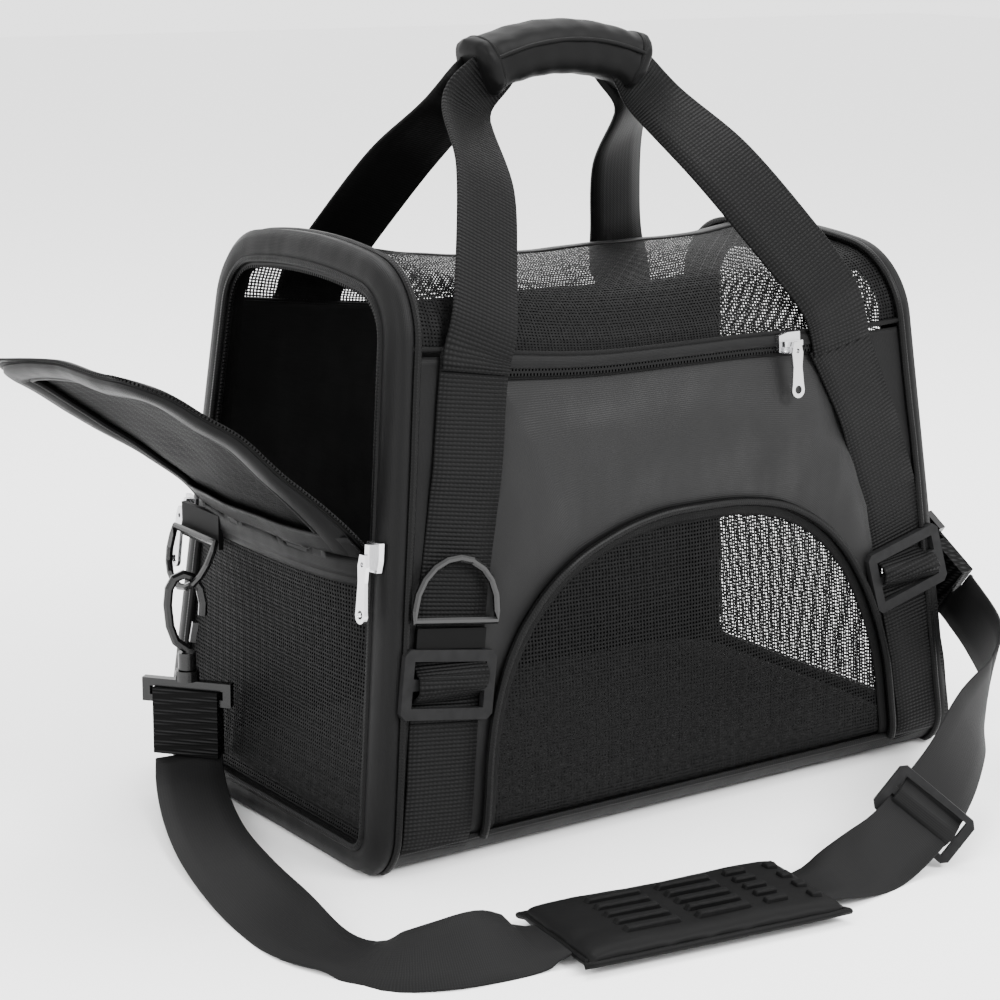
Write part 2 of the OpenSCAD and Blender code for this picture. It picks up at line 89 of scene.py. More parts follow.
# section from the middle of the base, up the -Y side, over the top and down the +Y side
def section(inset=0.0, br=0.022, n=720):
    r = max(br - inset, 0.004)
    cy = HW - br * TS - br / math.cos(SA)
    half = [(0.0, inset)]
    for a in np.linspace(-math.pi / 2, SA, 24):
        half.append((cy + r * math.cos(a), br + r * math.sin(a)))
    for a in np.linspace(SA, math.radians(82), 40):
        half.append((0.05199 + (0.042 - inset) * math.cos(a), 0.2603 + (0.042 - inset) * math.sin(a)))
    for a in np.linspace(math.radians(82), math.pi / 2, 20)[1:]:
        half.append(((0.42 - inset) * math.cos(a), -0.114 + (0.42 - inset) * math.sin(a)))
    half = np.array(half)
    full = np.concatenate([half * (-1, 1), half[-2:0:-1]])
    full = np.vstack([full, full[0]])
    d = np.r_[0, np.cumsum(np.linalg.norm(np.diff(full, axis=0), axis=1))]
    t = np.linspace(0, d[-1], n + 1)
    p = np.c_[np.interp(t, d, full[:, 0]), np.interp(t, d, full[:, 1])]
    tan = np.gradient(p, axis=0)
    tan[0] = tan[-1] = (p[1] - p[-2]) / 2
    nrm = unit(np.c_[-tan[:, 1], tan[:, 0]])
    nrm *= np.sign((nrm * (p - (0, 0.15))).sum(1, keepdims=True))
    return t / d[-1], p, nrm, d[-1]


S, SP, SN, SLEN = section()
HALF = len(S) // 2


def s_front(z):
    return np.interp(z, SP[: HALF + 1, 1], S[: HALF + 1])


def waves(a, b, scale, seed):
    g = np.random.default_rng(seed)
    out = 0
    for k in range(6):
        f = g.uniform(0.6, 1.7) / scale
        th = g.uniform(0, 6.28)
        out = out + np.sin((a * math.cos(th) + b * math.sin(th)) * f * 6.28 + g.uniform(0, 6.28))
    return out / 6


def disp(x, p, n):
    """How the soft shell strays from the stiff CAD shape."""
    y, z = p[..., 0], p[..., 1]
    u = np.clip(np.abs(x) / xe(z), 0, 1)
    w = np.clip(1 - u ** 2, 0, 1)
    side = np.abs(n[..., 0]) ** 2
    rise = np.clip(z / 0.27, 0, 1)
    bulge = 0.0045 * w ** 0.8 * np.sin(math.pi * rise) * side
    edge = smooth((1 - u) / 0.12) * smooth((z - 0.01) / 0.05)
    wr = (0.0016 * waves(x, z, 0.16, 3) + 0.0006 * waves(x, z * 1.4, 0.05, 4)) * edge
    wr = np.where(y < 0, wr, wr * 1.2)
    calm = 1 - 0.92 * np.exp(-((z - .2506) / .026) ** 4)
    for cx, cz, cr in ((-.156, .100, .040), (-.151, .141, .044), (.163, .112, .040), (.077, .2506, .030)):
        calm = calm * (1 - 0.97 * np.exp(-(((x - cx) / cr) ** 2 + ((z - cz) / cr) ** 2) ** 1.5))
    bulge, wr = bulge * calm, wr * calm
    sag = 0.015 * (1 - u ** 2.6) * smooth((z - 0.235) / 0.06)
    lift = smooth((z - 0.05) / 0.25)
    hoop = lift * np.where(x < 0, 0.008, -0.007) * smooth((u - 0.2) / 0.8)
    out = np.zeros(np.broadcast(x, z).shape + (3,))
    out[..., 1] = n[..., 0] * (bulge + wr)
    out[..., 2] = n[..., 1] * wr * 0.8 - sag + hoop
    return out


def skin(x, s, off=0.0):
    """A point on the soft shell: x along the bag, s round the section, off outward."""
    x, s = np.broadcast_arrays(np.asarray(x, float), np.asarray(s, float))
    p = np.stack([np.interp(s, S, SP[:, 0]), np.interp(s, S, SP[:, 1])], -1)
    n = unit(np.stack([np.interp(s, S, SN[:, 0]), np.interp(s, S, SN[:, 1])], -1))
    out = disp(x, p, n)
    out[..., 0] += x
    out[..., 1] += p[..., 0] + n[..., 0] * off
    out[..., 2] += p[..., 1] + n[..., 1] * off
    return out


def front(x, z, off=0.0):
    return skin(x, s_front(z), off)


def back(x, z, off=0.0):
    return skin(x, 1 - s_front(z), off)


# ------------------------------------------------------------ mesh makers
def make(name, verts, faces, mat=None, uv=None, smooth_shade=True):
    me = bpy.data.meshes.new(name)
    me.from_pydata([tuple(v) for v in np.asarray(verts, float)], [], [tuple(int(i) for i in f) for f in faces])
    if uv is not None:
        layer = me.uv_layers.new(name="UVMap")
        idx = np.empty(len(me.loops), dtype=np.int32)
        me.loops.foreach_get("vertex_index", idx)
        layer.data.foreach_set("uv", np.asarray(uv, np.float32)[idx].ravel())
    if mat:
        me.materials.append(mat)
    me.polygons.foreach_set("use_smooth", [smooth_shade] * len(me.polygons))
    me.update()
    ob = bpy.data.objects.new(name + "_look" if name in bpy.data.objects else name, me)
    scene.collection.objects.link(ob)
    return ob


def grid_faces(n, m, wrap=False, base=0):
    i, j = np.meshgrid(np.arange(n - 1), np.arange(m if wrap else m - 1), indexing="ij")
    k = (j + 1) % m
    return np.stack([i * m + j, i * m + k, (i + 1) * m + k, (i + 1) * m + j], -1).reshape(-1, 4) + base


def sheet(name, P, mat, wrap=False, thick=None, flip=False):
    """A surface through an (n, m, 3) array, with UVs that are lengths in metres."""
    n, m = P.shape[:2]
    du = np.r_[0, np.cumsum(np.linalg.norm(np.diff(P, axis=0), axis=2).mean(1))]
    dv = np.r_[0, np.cumsum(np.linalg.norm(np.diff(P, axis=1), axis=2).mean(0))]
    uv = np.stack(np.meshgrid(dv, du), -1).reshape(-1, 2)
    f = grid_faces(n, m, wrap)
    if flip:
        f = f[:, ::-1]
    ob = make(name, P.reshape(-1, 3), f, mat, uv)
    if thick:
        mod = ob.modifiers.new("thick", "SOLIDIFY")
        mod.thickness = abs(thick)
        mod.offset = -1 if thick > 0 else 1
    return ob


def frames(P, closed=False):
    if closed:
        t = unit(np.roll(P, -1, 0) - np.roll(P, 1, 0))
    else:
        t = unit(np.gradient(P, axis=0))
    return t


def tube_data(P, r, n=10, closed=False, up=(0, 0, 1)):
    P = np.asarray(P, float)
    t = frames(P, closed)
    ref = np.tile(np.asarray(up, float), (len(P), 1))
    b = np.cross(t, ref)
    bad = np.linalg.norm(b, axis=1) < 0.2
    b[bad] = np.cross(t[bad], (0.3, 0.9, 0.1))
    b = unit(b)
    for i in range(1, len(b)):
        v = b[i - 1] - t[i] * (b[i - 1] @ t[i])
        b[i] = v / np.linalg.norm(v)
    c = np.cross(t, b)
    a = np.arange(n) * 2 * math.pi / n
    r = np.broadcast_to(r, (len(P),))[:, None, None]
    V = P[:, None] + r * (b[:, None] * np.cos(a)[None, :, None] + c[:, None] * np.sin(a)[None, :, None])
    d = np.r_[0, np.cumsum(np.linalg.norm(np.diff(P, axis=0), axis=1))]
    uv = np.stack(np.meshgrid(a / 6.2832 * 0.013, d), -1).reshape(-1, 2)
    f = grid_faces(len(P), n, True)
    if closed:
        j = np.arange(n)
        k = (j + 1) % n
        last = (len(P) - 1) * n
        f = np.vstack([f, np.stack([last + j, last + k, k, j], -1)])
    faces = [tuple(q) for q in f]
    if not closed:
        faces += [tuple(range(n))[::-1], tuple((len(P) - 1) * n + i for i in range(n))]
    return V.reshape(-1, 3), faces, uv


def tube(name, P, r, mat, n=10, closed=False, up=(0, 0, 1)):
    v, f, uv = tube_data(P, r, n, closed, up)
    return make(name, v, f, mat, uv)


def spline(K, step=0.004, closed=False):
    """A Catmull-Rom curve through the rows of K (any number of columns), resampled by length."""
    K = np.asarray(K, float)
    Q = np.vstack([K[-1], K, K[0], K[1]]) if closed else np.vstack([2 * K[0] - K[1], K, 2 * K[-1] - K[-2]])
    out = []
    for i in range(1, len(Q) - 2):
        p0, p1, p2, p3 = Q[i - 1], Q[i], Q[i + 1], Q[i + 2]
        m = max(2, int(np.linalg.norm((p2 - p1)[:3]) / step))
        for t in np.arange(m) / m:
            out.append(0.5 * (2 * p1 + (p2 - p0) * t + (2 * p0 - 5 * p1 + 4 * p2 - p3) * t ** 2
                              + (3 * p1 - p0 - 3 * p2 + p3) * t ** 3))
    if not closed:
        out.append(K[-1])
    return np.array(out)


def strap(name, P, W, N, w, t, mat):
    """A flat strap with soft edges: centre points, width directions and face normals."""
    P, W, N = np.asarray(P, float), unit(W), np.asarray(N, float)
    T = frames(P)
    W = unit(W - T * (W * T).sum(1, keepdims=True))
    N2 = unit(np.cross(T, W))
    N2 *= np.sign((N2 * N).sum(1, keepdims=True))
    w = np.broadcast_to(w, (len(P),))[:, None]
    e = t * 0.5
    prof = [(-0.5, -0.15), (-0.485, -0.5), (-0.25, -0.52), (0.25, -0.52), (0.485, -0.5), (0.5, -0.15),
            (0.5, 0.15), (0.485, 0.5), (0.25, 0.52), (-0.25, 0.52), (-0.485, 0.5), (-0.5, 0.15)]
    V = np.stack([P + W * w * a + N2 * t * b for a, b in prof], 1)
    d = np.r_[0, np.cumsum(np.linalg.norm(np.diff(P, axis=0), axis=1))]
    m = len(prof)
    uu = np.array([a for a, b in prof])
    uv = np.stack([np.broadcast_to(uu[None, :] * 0.042, (len(P), m)), np.broadcast_to(d[:, None], (len(P), m))], -1)
    faces = [tuple(q) for q in grid_faces(len(P), m, True)]
    faces += [tuple(range(m))[::-1], tuple((len(P) - 1) * m + i for i in range(m))]
    return make(name, V.reshape(-1, 3), faces, mat, uv.reshape(-1, 2))


def net(name, F, u0, u1, v0, v1, inside, mat, pitch=0.002, wire=0.00078, step=0.004, skew=0.0):
    """Open mesh cloth as crossing threads on the surface F(u, v), kept where inside(u, v)."""
    verts, faces = [], []
    count = 0
    for axis in (0, 1):
        lo, hi = (u0, u1) if axis == 0 else (v0, v1)
        a, b = (v0, v1) if axis == 0 else (u0, u1)
        t = np.linspace(a, b, max(2, int((b - a) / step) + 1))
        for c in np.arange(lo + pitch / 2, hi, pitch):
            bend = skew * np.sin(t * 90 + c * 40) * 0.0004
            wob = 0.00016 * ((np.arange(len(t)) % 2) * 2 - 1)
            cc = c + bend
            if axis == 0:
                P, Q = F(cc - wire / 2, t, wob), F(cc + wire / 2, t, wob)
                keep = inside(cc, t)
            else:
                P, Q = F(t, cc - wire / 2, -wob), F(t, cc + wire / 2, -wob)
                keep = inside(t, cc)
            k = np.flatnonzero(keep[:-1] & keep[1:])
            if not len(k):
                continue
            V = np.empty((2 * len(t), 3))
            V[0::2], V[1::2] = P, Q
            verts.append(V)
            f = np.stack([2 * k, 2 * k + 1, 2 * k + 3, 2 * k + 2], -1) + count
            faces.append(f)
            count += len(V)
    V, Fc = np.vstack(verts), np.vstack(faces)
    used, inv = np.unique(Fc, return_inverse=True)
    return make(name, V[used], inv.reshape(Fc.shape), mat, V[used][:, [0, 2]], smooth_shade=False)


BOX = np.array([(x, y, z) for x in (-.5, .5) for y in (-.5, .5) for z in (-.5, .5)])
BOXF = [(0, 1, 3, 2), (4, 6, 7, 5), (0, 4, 5, 1), (2, 3, 7, 6), (0, 2, 6, 4), (1, 5, 7, 3)]


def teeth(name, P, N, mat, pitch=0.0021, size=(0.0011, 0.0026, 0.0013), shift=0.0007):
    """Zip teeth along the path P with outward normals N."""
    d = np.r_[0, np.cumsum(np.linalg.norm(np.diff(P, axis=0), axis=1))]
    t = np.arange(pitch, d[-1], pitch / 2)
    C = np.stack([np.interp(t, d, P[:, k]) for k in range(3)], -1)
    M = unit(np.stack([np.interp(t, d, N[:, k]) for k in range(3)], -1))
    T = unit(np.gradient(C, axis=0))
    B = unit(np.cross(T, M))
    C = C + B * (shift * np.where(np.arange(len(t)) % 2, 1, -1))[:, None]
    V = (C[:, None] + T[:, None] * BOX[None, :, :1] * size[0] + B[:, None] * BOX[None, :, 1:2] * size[1]
         + M[:, None] * BOX[None, :, 2:] * size[2])
    f = (np.array(BOXF)[None] + 8 * np.arange(len(t))[:, None, None]).reshape(-1, 4)
    return make(name, V.reshape(-1, 3), f, mat, smooth_shade=False)


def bevel(ob, w=0.0006, seg=2, angle=35):
    m = ob.modifiers.new("bevel", "BEVEL")
    m.width = w
    m.segments = seg
    m.limit_method = "ANGLE"
    m.angle_limit = math.radians(angle)
    return ob


# ------------------------------------------------------------ materials
DARK = 0.15


def mat_base(name, color, rough, spec=0.5, metal=0.0, sheen=0.0, coat=0.0):
    m = bpy.data.materials.new(name)
    m.use_nodes = True
    nt = m.node_tree
    b = nt.nodes["Principled BSDF"]
    b.inputs["Base Color"].default_value = (*color, 1)
    b.inputs["Roughness"].default_value = rough
    b.inputs["Metallic"].default_value = metal
    b.inputs["Specular IOR Level"].default_value = spec if metal or coat else spec * 0.2
    if sheen:
        b.inputs["Sheen Weight"].default_value = sheen * 0.05
        b.inputs["Sheen Roughness"].default_value = 0.45
    if coat:
        b.inputs["Coat Weight"].default_value = coat
        b.inputs["Coat Roughness"].default_value = 0.15
    return m, nt, b


def node(nt, kind, **inputs):
    n = nt.nodes.new(kind)
    for k, v in inputs.items():
        n.inputs[k.replace("_", " ")].default_value = v
    return n


def coords(nt, out, scale):
    tc = nt.nodes.new("ShaderNodeTexCoord")
    mp = nt.nodes.new("ShaderNodeMapping")
    mp.inputs["Scale"].default_value = scale
    nt.links.new(tc.outputs[out], mp.inputs["Vector"])
    return mp.outputs["Vector"]


def bands(nt, vec, direction, scale=1.0, distortion=0.0):
    w = nt.nodes.new("ShaderNodeTexWave")
    w.bands_direction = direction
    w.wave_profile = "SIN"
    w.inputs["Scale"].default_value = scale
    w.inputs["Distortion"].default_value = distortion
    nt.links.new(vec, w.inputs["Vector"])
    return w.outputs["Fac"]


def mix_color(nt, b, fac, c0, c1, lo=0.0, hi=1.0):
    r = nt.nodes.new("ShaderNodeMapRange")
    r.inputs["From Min"].default_value = lo
    r.inputs["From Max"].default_value = hi
    nt.links.new(fac, r.inputs["Value"])
    m = nt.nodes.new("ShaderNodeMix")
    m.data_type = "RGBA"
    m.inputs["A"].default_value = (*c0, 1)
    m.inputs["B"].default_value = (*c1, 1)
    nt.links.new(r.outputs["Result"], m.inputs["Factor"])
    nt.links.new(m.outputs["Result"], b.inputs["Base Color"])


def bump(nt, b, fac, strength, dist):
    n = nt.nodes.new("ShaderNodeBump")
    n.inputs["Strength"].default_value = strength
    n.inputs["Distance"].default_value = dist
    nt.links.new(fac, n.inputs["Height"])
    nt.links.new(n.outputs["Normal"], b.inputs["Normal"])
    return n


def math_node(nt, op, a, b):
    n = nt.nodes.new("ShaderNodeMath")
    n.operation = op
    for i, v in enumerate((a, b)):
        if isinstance(v, (int, float)):
            n.inputs[i].default_value = v
        else:
            nt.links.new(v, n.inputs[i])
    return n.outputs["Value"]


def noise(nt, vec, scale, detail=3):
    n = nt.nodes.new("ShaderNodeTexNoise")
    n.inputs["Scale"].default_value = scale
    n.inputs["Detail"].default_value = detail
    nt.links.new(vec, n.inputs["Vector"])
    return n.outputs["Fac"]


def woven(name, c0, c1, rough, pitch, sheen=0.1, spec=0.5, soft=0.0005, strength=0.25):
    m, nt, b = mat_base(name, c0, rough, spec, sheen=sheen)
    v = coords(nt, "UV", (1, 1, 1))
    k = math.pi / (10 * pitch)
    f = math_node(nt, "MULTIPLY", bands(nt, v, "X", k), bands(nt, v, "Y", k))
    o = coords(nt, "Object", (1, 1, 1))
    big = noise(nt, o, 9, 2)
    mix_color(nt, b, big, c0, c1, 0.3, 0.7)
    fine = noise(nt, o, 260, 2)
    h = math_node(nt, "ADD", f, math_node(nt, "MULTIPLY", fine, 0.6))
    weave = bump(nt, b, h, strength, soft)
    crease = nt.nodes.new("ShaderNodeBump")
    crease.inputs["Strength"].default_value = 0.5
    crease.inputs["Distance"].default_value = 0.006
    stretched = coords(nt, "Object", (1, 1, 0.55))
    nt.links.new(noise(nt, stretched, 26, 2), crease.inputs["Height"])
    nt.links.new(crease.outputs["Normal"], weave.inputs["Normal"])
    return m


def ribbed(name, c0, c1, rough, pitch, cross, sheen=0.1, strength=0.8, depth=0.0005, spec=0.4):
    """Webbing: ribs across the strap every pitch, broken into cells of width cross."""
    m, nt, b = mat_base(name, c0, rough, spec, sheen=sheen)
    v = coords(nt, "UV", (1, 1, 1))
    rib = bands(nt, v, "Y", math.pi / (10 * pitch))
    cell = bands(nt, v, "X", math.pi / (10 * cross))
    f = math_node(nt, "MULTIPLY", rib, math_node(nt, "ADD", math_node(nt, "MULTIPLY", cell, 0.45), 0.55))
    # the colour follows the rib height: the webbing's rib pattern, with painted shade in the grooves and painted
    # highlight on the crests
    mix_color(nt, b, f, c0, c1, 0.25, 0.95)
    bump(nt, b, f, strength, depth)
    return m


K = lambda v: (v * DARK, v * DARK, v * DARK * 1.02)
M_nylon = woven("nylon_satin", K(0.022), K(0.030), 0.42, 0.00075, sheen=0.15, spec=0.4)
M_pocket = woven("nylon_pocket", K(0.030), K(0.050), 0.40, 0.00075, sheen=0.3, spec=0.75)
M_lining = woven("lining", K(0.010), K(0.014), 0.7, 0.001, sheen=0.05, spec=0.25)
M_binding = woven("binding", K(0.008), K(0.012), 0.5, 0.0012, sheen=0.1, spec=0.4)
M_piping = woven("piping", K(0.010), K(0.015), 0.42, 0.0016, sheen=0.1, spec=0.5, strength=0.4)
M_tape = ribbed("zip_tape", K(0.006), K(0.016), 0.6, 0.0012, 0.0009, strength=0.5)
M_web = ribbed("webbing_ribbed", K(0.006), K(0.045), 0.55, 0.0021, 0.0026, strength=0.9, depth=0.0006)
# darker, flatter copy of the same webbing for the back legs: painted shade on the far side
M_web_shaded = ribbed("webbing_back", K(0.008), K(0.014), 0.5, 0.0016, 0.003, strength=0.3, depth=0.0003)
M_strap = ribbed("strap_webbing", K(0.030), K(0.050), 0.62, 0.0011, 0.0016, strength=0.35, depth=0.0002)
M_fold, _nt, _b = mat_base("folded_webbing", K(0.02), 0.6, 0.3)
_v = coords(_nt, "Object", (1, 1, 1))
_f = math_node(_nt, "MULTIPLY", bands(_nt, _v, "Z", math.pi / 0.02), bands(_nt, _v, "DIAGONAL", math.pi / 0.03))
# the colour follows the stripe height: the folded webbing's stripes, with painted shade in the grooves and painted
# highlight on the crests
mix_color(_nt, _b, _f, K(0.006), K(0.08), 0.2, 0.9)
bump(_nt, _b, _f, 0.8, 0.0006)
M_grip = woven("grip_fabric", K(0.014), K(0.020), 0.5, 0.0009, sheen=0.15, spec=0.4)
M_pad = woven("pad_fabric", K(0.016), K(0.022), 0.55, 0.0009, sheen=0.12, spec=0.35)


def net_material(name, c):
    m, nt, b = mat_base(name, c, 0.55, 0.35)
    o = coords(nt, "Object", (1, 1, 1))
    mix_color(nt, b, noise(nt, o, 400, 1), c, tuple(x * 1.7 for x in c), 0.35, 0.65)
    return m


M_net = net_material("net_thread", K(0.016))


def solid(name, c, rough, spec=0.5, metal=0.0, coat=0.0, grain=220, vary=1.25, depth=0.00006):
    m, nt, b = mat_base(name, c, rough, spec, metal, coat=coat)
    o = coords(nt, "Object", (1, 1, 1))
    n = noise(nt, o, grain, 3)
    mix_color(nt, b, n, c, tuple(min(1, x * vary) for x in c), 0.35, 0.65)
    bump(nt, b, n, 0.25, depth)
    return m


M_teeth = solid("zip_teeth", K(0.014), 0.35, 0.5)
M_plastic = solid("glide_plastic", K(0.07), 0.5, 0.2)
M_gloss = solid("hook_plastic", K(0.02), 0.25, 0.3, coat=0.08)
M_wire = solid("black_wire", K(0.020), 0.2, 0.4, coat=0.1)
M_nickel = solid("nickel", (0.62, 0.62, 0.63), 0.2, 0.5, metal=1.0, vary=1.08, grain=60)
M_board = solid("base_board", K(0.02), 0.6, 0.3)
M_fleece, _nt, _b = mat_base("fleece", K(0.012), 0.9, 0.2, sheen=0.4)
_o = coords(_nt, "Object", (1, 1, 1))
_f = noise(_nt, _o, 320, 4)
mix_color(_nt, _b, _f, (.012, .012, .012), (.034, .034, .034), 0.35, 0.65)
bump(_nt, _b, _f, 0.8, 0.0012)


def put(ob, body, nodes=()):
    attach(ob, body)
    if nodes:
        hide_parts(*nodes)
    return ob


# ------------------------------------------------------------ shoulder strap first
LW, LF = (0.643, -0.766, 0), (0.766, 0.643, 0)
hook_r = np.array([HL + 0.0208 - LEAN * 0.170 / BH, -0.0195, 0.146])
hook_d = np.array([0.14, -0.78, -0.61])
route = [
    ((-.2159, .0561, .0235), LW, LF),
    ((-.224, .04, .015), (0.74, -0.66, 0.12), (0.6, 0.7, -0.3)),
    ((-.239, .003, .01), (0.8, -0.56, 0.22), (0.4, 0.7, -0.6)),
    ((-.254, -.042, .009), (0.82, -0.5, 0.33), (0.5, 0.7, -0.5)),
    ((-.266, -.092, .0095), (0.78, -0.42, 0.46), (0.5, 0.7, -0.5)),
    ((-.271, -.132, .0085), (0.8, -0.25, 0.42), (0.5, 0.5, -0.7)),
    ((-.269, -.164, .004), (0.85, 0.25, 0.16), (0.1, 0.2, -1)),
    ((-.260, -.188, .0024), (0.75, 0.66, 0.02), (0, 0, -1)),
    ((-.252, -.211, .0065), (0.45, 0.78, 0.32), (0.3, 0.3, -0.9)),
    ((-.234, -.225, .0105), (0.36, 0.68, 0.5), (0.3, 0.5, -0.8)),
    ((-.213, -.231, .012), (0.28, 0.7, 0.62), (0.2, 0.5, -0.85)),
    ((-.193, -.2305, .0085), (0.2, 0.9, 0.38), (0.1, 0.3, -0.95)),
    ((-.177, -.229, .0052), (0.14, 1, 0), (0, 0, -1)),
    ((-.132, -.2349, .0054), (0.13, 1, 0), (0, 0, -1)),
    ((-.07, -.2431, .0054), (0.13, 1, 0), (0, 0, -1)),
    ((-.027, -.2488, .0054), (0.13, 1, 0), (0, 0, -1)),
    ((-.004, -.25, .0085), (-0.1, 0.9, 0.35), (0, 0.35, -0.9)),
    ((.024, -.25, .015), (-0.45, 0.58, 0.68), (0.3, 0.8, -0.5)),
    ((.054, -.243, .026), (-0.55, 0.6, 0.58), (0.5, 0.72, -0.3)),
    ((.088, -.228, .037), (-0.6, 0.35, 0.72), (0.5, 0.8, 0)),
    ((.122, -.206, .046), (-0.62, 0.1, 0.75), (0.55, 0.75, 0.3)),
    ((.15, -.186, .05), (-0.55, -0.2, 0.75), (0.65, 0.65, 0.3)),
    ((.176, -.168, .055), (-0.35, -0.4, 0.8), (0.8, 0.55, 0.25)),
    ((.197, -.149, .064), (-0.15, -0.5, 0.8), (0.95, 0.3, 0.1)),
    ((.212, -.124, .071), (-0.05, -0.56, 0.79), (0.99, 0.2, 0.09)),
    (tuple(hook_r + 0.104 * hook_d), (-.02, -.6, .79), (.99, .11, .086)),
    (tuple(hook_r + 0.0986 * hook_d), (0, -.616, .788), (.99, .11, .086)),
]
R = spline(np.array([[*p, *w, *f] for p, w, f in route]), 0.005)
shoulder = strap("shoulder_strap", R[:, :3], R[:, 3:6], R[:, 6:9], 0.038, 0.0018, M_strap)
put(shoulder, "bag", ["shoulder_strap"])

# ------------------------------------------------------------ shell panels
WEBL = np.array([(-.166, .012), (-.158, .075), (-.150, .130), (-.139, .195), (-.129, .262)])
WEBR = np.array([(.178, .012), (.174, .050), (.166, .095), (.157, .138), (.143, .184), (.129, .222), (.112, .260)])


def web_x(web, z):
    return np.interp(z, web[:, 1], web[:, 0])


ZB, ZZ = 0.014, 0.2475
arch_mm = [(-136, 14), (-131, 60), (-121, 95), (-106, 122), (-82, 145), (-50, 160), (-18, 167),
           (14, 168), (46, 166), (76, 159), (103, 143), (124, 119), (138, 91), (147, 58), (152, 14)]
AR = spline(np.array(arch_mm, float) / 1000, 0.003)


def arch_scaled(d):
    """The arch outline moved outward by d."""
    t = unit(np.gradient(AR, axis=0))
    n = np.c_[-t[:, 1], t[:, 0]]
    return AR + n * d


# pocket panel: from the arch outward to a line under the webbings and the zip
def border_points(n):
    """Points round the pocket panel's outer edge, left foot to right foot."""
    zl = np.linspace(ZB, ZZ, 60)
    left = np.c_[web_x(WEBL, zl) + 0.015, zl]
    top = np.c_[np.linspace(web_x(WEBL, ZZ) + 0.015, web_x(WEBR, ZZ) - 0.015, 60), np.full(60, ZZ)]
    right = np.c_[web_x(WEBR, zl) - 0.015, zl][::-1]
    P = np.vstack([left, top[1:-1], right])
    d = np.r_[0, np.cumsum(np.linalg.norm(np.diff(P, axis=0), axis=1))]
    t = np.linspace(0, d[-1], n)
    return np.c_[np.interp(t, d, P[:, 0]), np.interp(t, d, P[:, 1])], P


n_arc = 160
dA = np.r_[0, np.cumsum(np.linalg.norm(np.diff(AR, axis=0), axis=1))]
tA = np.linspace(0, dA[-1], n_arc)
inner = np.c_[np.interp(tA, dA, AR[:, 0]), np.interp(tA, dA, AR[:, 1])]
inner[:, 1] = np.maximum(inner[:, 1], ZB)
outer, _ = border_points(n_arc)
rows = []
for t in np.linspace(0, 1, 30):
    q = inner * (1 - t) + outer * t
    off = 0.0002 + 0.0042 * math.sin(math.pi * min(1, t * 1.06)) * smooth((q[:, 1] - 0.08) / 0.1)
    rows.append(front(q[:, 0], q[:, 1], off))
P = np.array(rows)
pocket = sheet("pocket_panel", P, M_pocket, thick=0.001)
put(pocket, "bag", ["pocket_panel"])

# side strips from the webbing centre lines to the hoops
z = np.linspace(ZB, SEAM, 60)
strips = []
for sgn, web in ((-1, WEBL), (1, WEBR)):
    x0, x1 = web_x(web, z) - sgn * .014, sgn * (xe(z) - 0.006)
    t = np.linspace(0, 1, 14)
    X = x0[:, None] * (1 - t) + x1[:, None] * t
    strips.append(np.array(front(X, np.broadcast_to(z[:, None], X.shape), 0.0)))
left_strip = sheet("front_side_left", strips[0], M_nylon, thick=0.0012)
right_strip = sheet("front_side_right", strips[1], M_nylon, thick=-0.0012)
put(left_strip, "bag", ["front_panel"])
put(right_strip, "bag", ["front_panel"])
# lining behind the pocket, between arch and seam
outer2, _ = border_points(n_arc)
outer2[:, 1] = np.where(outer2[:, 1] > 0.2, outer2[:, 1] + 0.0105 * smooth((outer2[:, 1] - 0.2) / 0.045),
                        outer2[:, 1])
rows = []
for t in np.linspace(0, 1, 16):
    q = inner * (1 - t) + outer2 * t
    rows.append(front(q[:, 0], q[:, 1], -0.0015))
put(sheet("front_lining", np.array(rows), M_lining, thick=0.0008), "bag", ["front_panel"])
# zip tape, teeth, flap
x0, x1 = web_x(WEBL, .25) + 0.012, web_x(WEBR, .25) - 0.014
xs = np.linspace(x0, x1, 90)
tp = np.array([front(xs, np.full_like(xs, zz), 0.0012) for zz in (.2445, .2485, .2525, .2545)])
put(sheet("pocket_tape", tp, M_tape, thick=0.0006), "bag", ["pocket_zip"])
C = front(xs, np.full_like(xs, .2495), 0.0022)
put(teeth("pocket_teeth", C, np.tile((0, -1, .08), (len(C), 1)), M_teeth), "bag", ["pocket_zip"])
xs = np.linspace(web_x(WEBL, .252) + 0.002, web_x(WEBR, .252) - 0.002, 90)
prof = [(.2635, .0005), (.2605, .0026), (.2585, .0032), (.2555, .0034), (.2528, .0036), (.2516, .0030),
        (.2512, .0018)]
fl = np.array([front(xs, np.full_like(xs, a), b) for a, b in prof])
put(sheet("pocket_flap", fl, M_nylon, thick=0.0008, flip=True), "bag", ["pocket_flap"])
# seam piping-like fold along the top of the fabric, hoop to hoop
xs = np.linspace(-xe(SEAM) + .006, xe(SEAM) - .006, 120)
put(tube("front_seam", front(xs, np.full_like(xs, SEAM + .004), 0.0012), 0.0016, M_binding, 8), "bag",
    ["front_panel"])
put(tube("back_seam", back(xs, np.full_like(xs, SEAM + .004), 0.0012), 0.0016, M_binding, 8), "bag",
    ["back_panel"])
# back and bottom
z = np.linspace(ZB, SEAM + .004, 60)
t = np.linspace(-1, 1, 110)
X = t[None, :] * (xe(z)[:, None] - .006)
put(sheet("back_panel", back(X, np.broadcast_to(z[:, None], X.shape)), M_nylon, thick=-0.0012), "bag",
    ["back_panel"])
s0 = s_front(ZB + .001)
ss = np.concatenate([np.linspace(-s0, s0, 50)])
X = np.linspace(-1, 1, 60)[None, :] * np.full((50, 1), HL - .006)
put(sheet("bottom_panel", skin(X, np.broadcast_to((ss % 1)[:, None], X.shape)), M_nylon, thick=0.0012,
          flip=True), "bag", ["bottom_panel"])
for nm, fn in (("bottom_seam_front", front), ("bottom_seam_back", back)):
    xs = np.linspace(-HL + .012, HL - .012, 120)
    put(tube(nm, fn(xs, np.full_like(xs, ZB), 0.001), 0.0017, M_piping, 8), "bag", ["window_piping"])

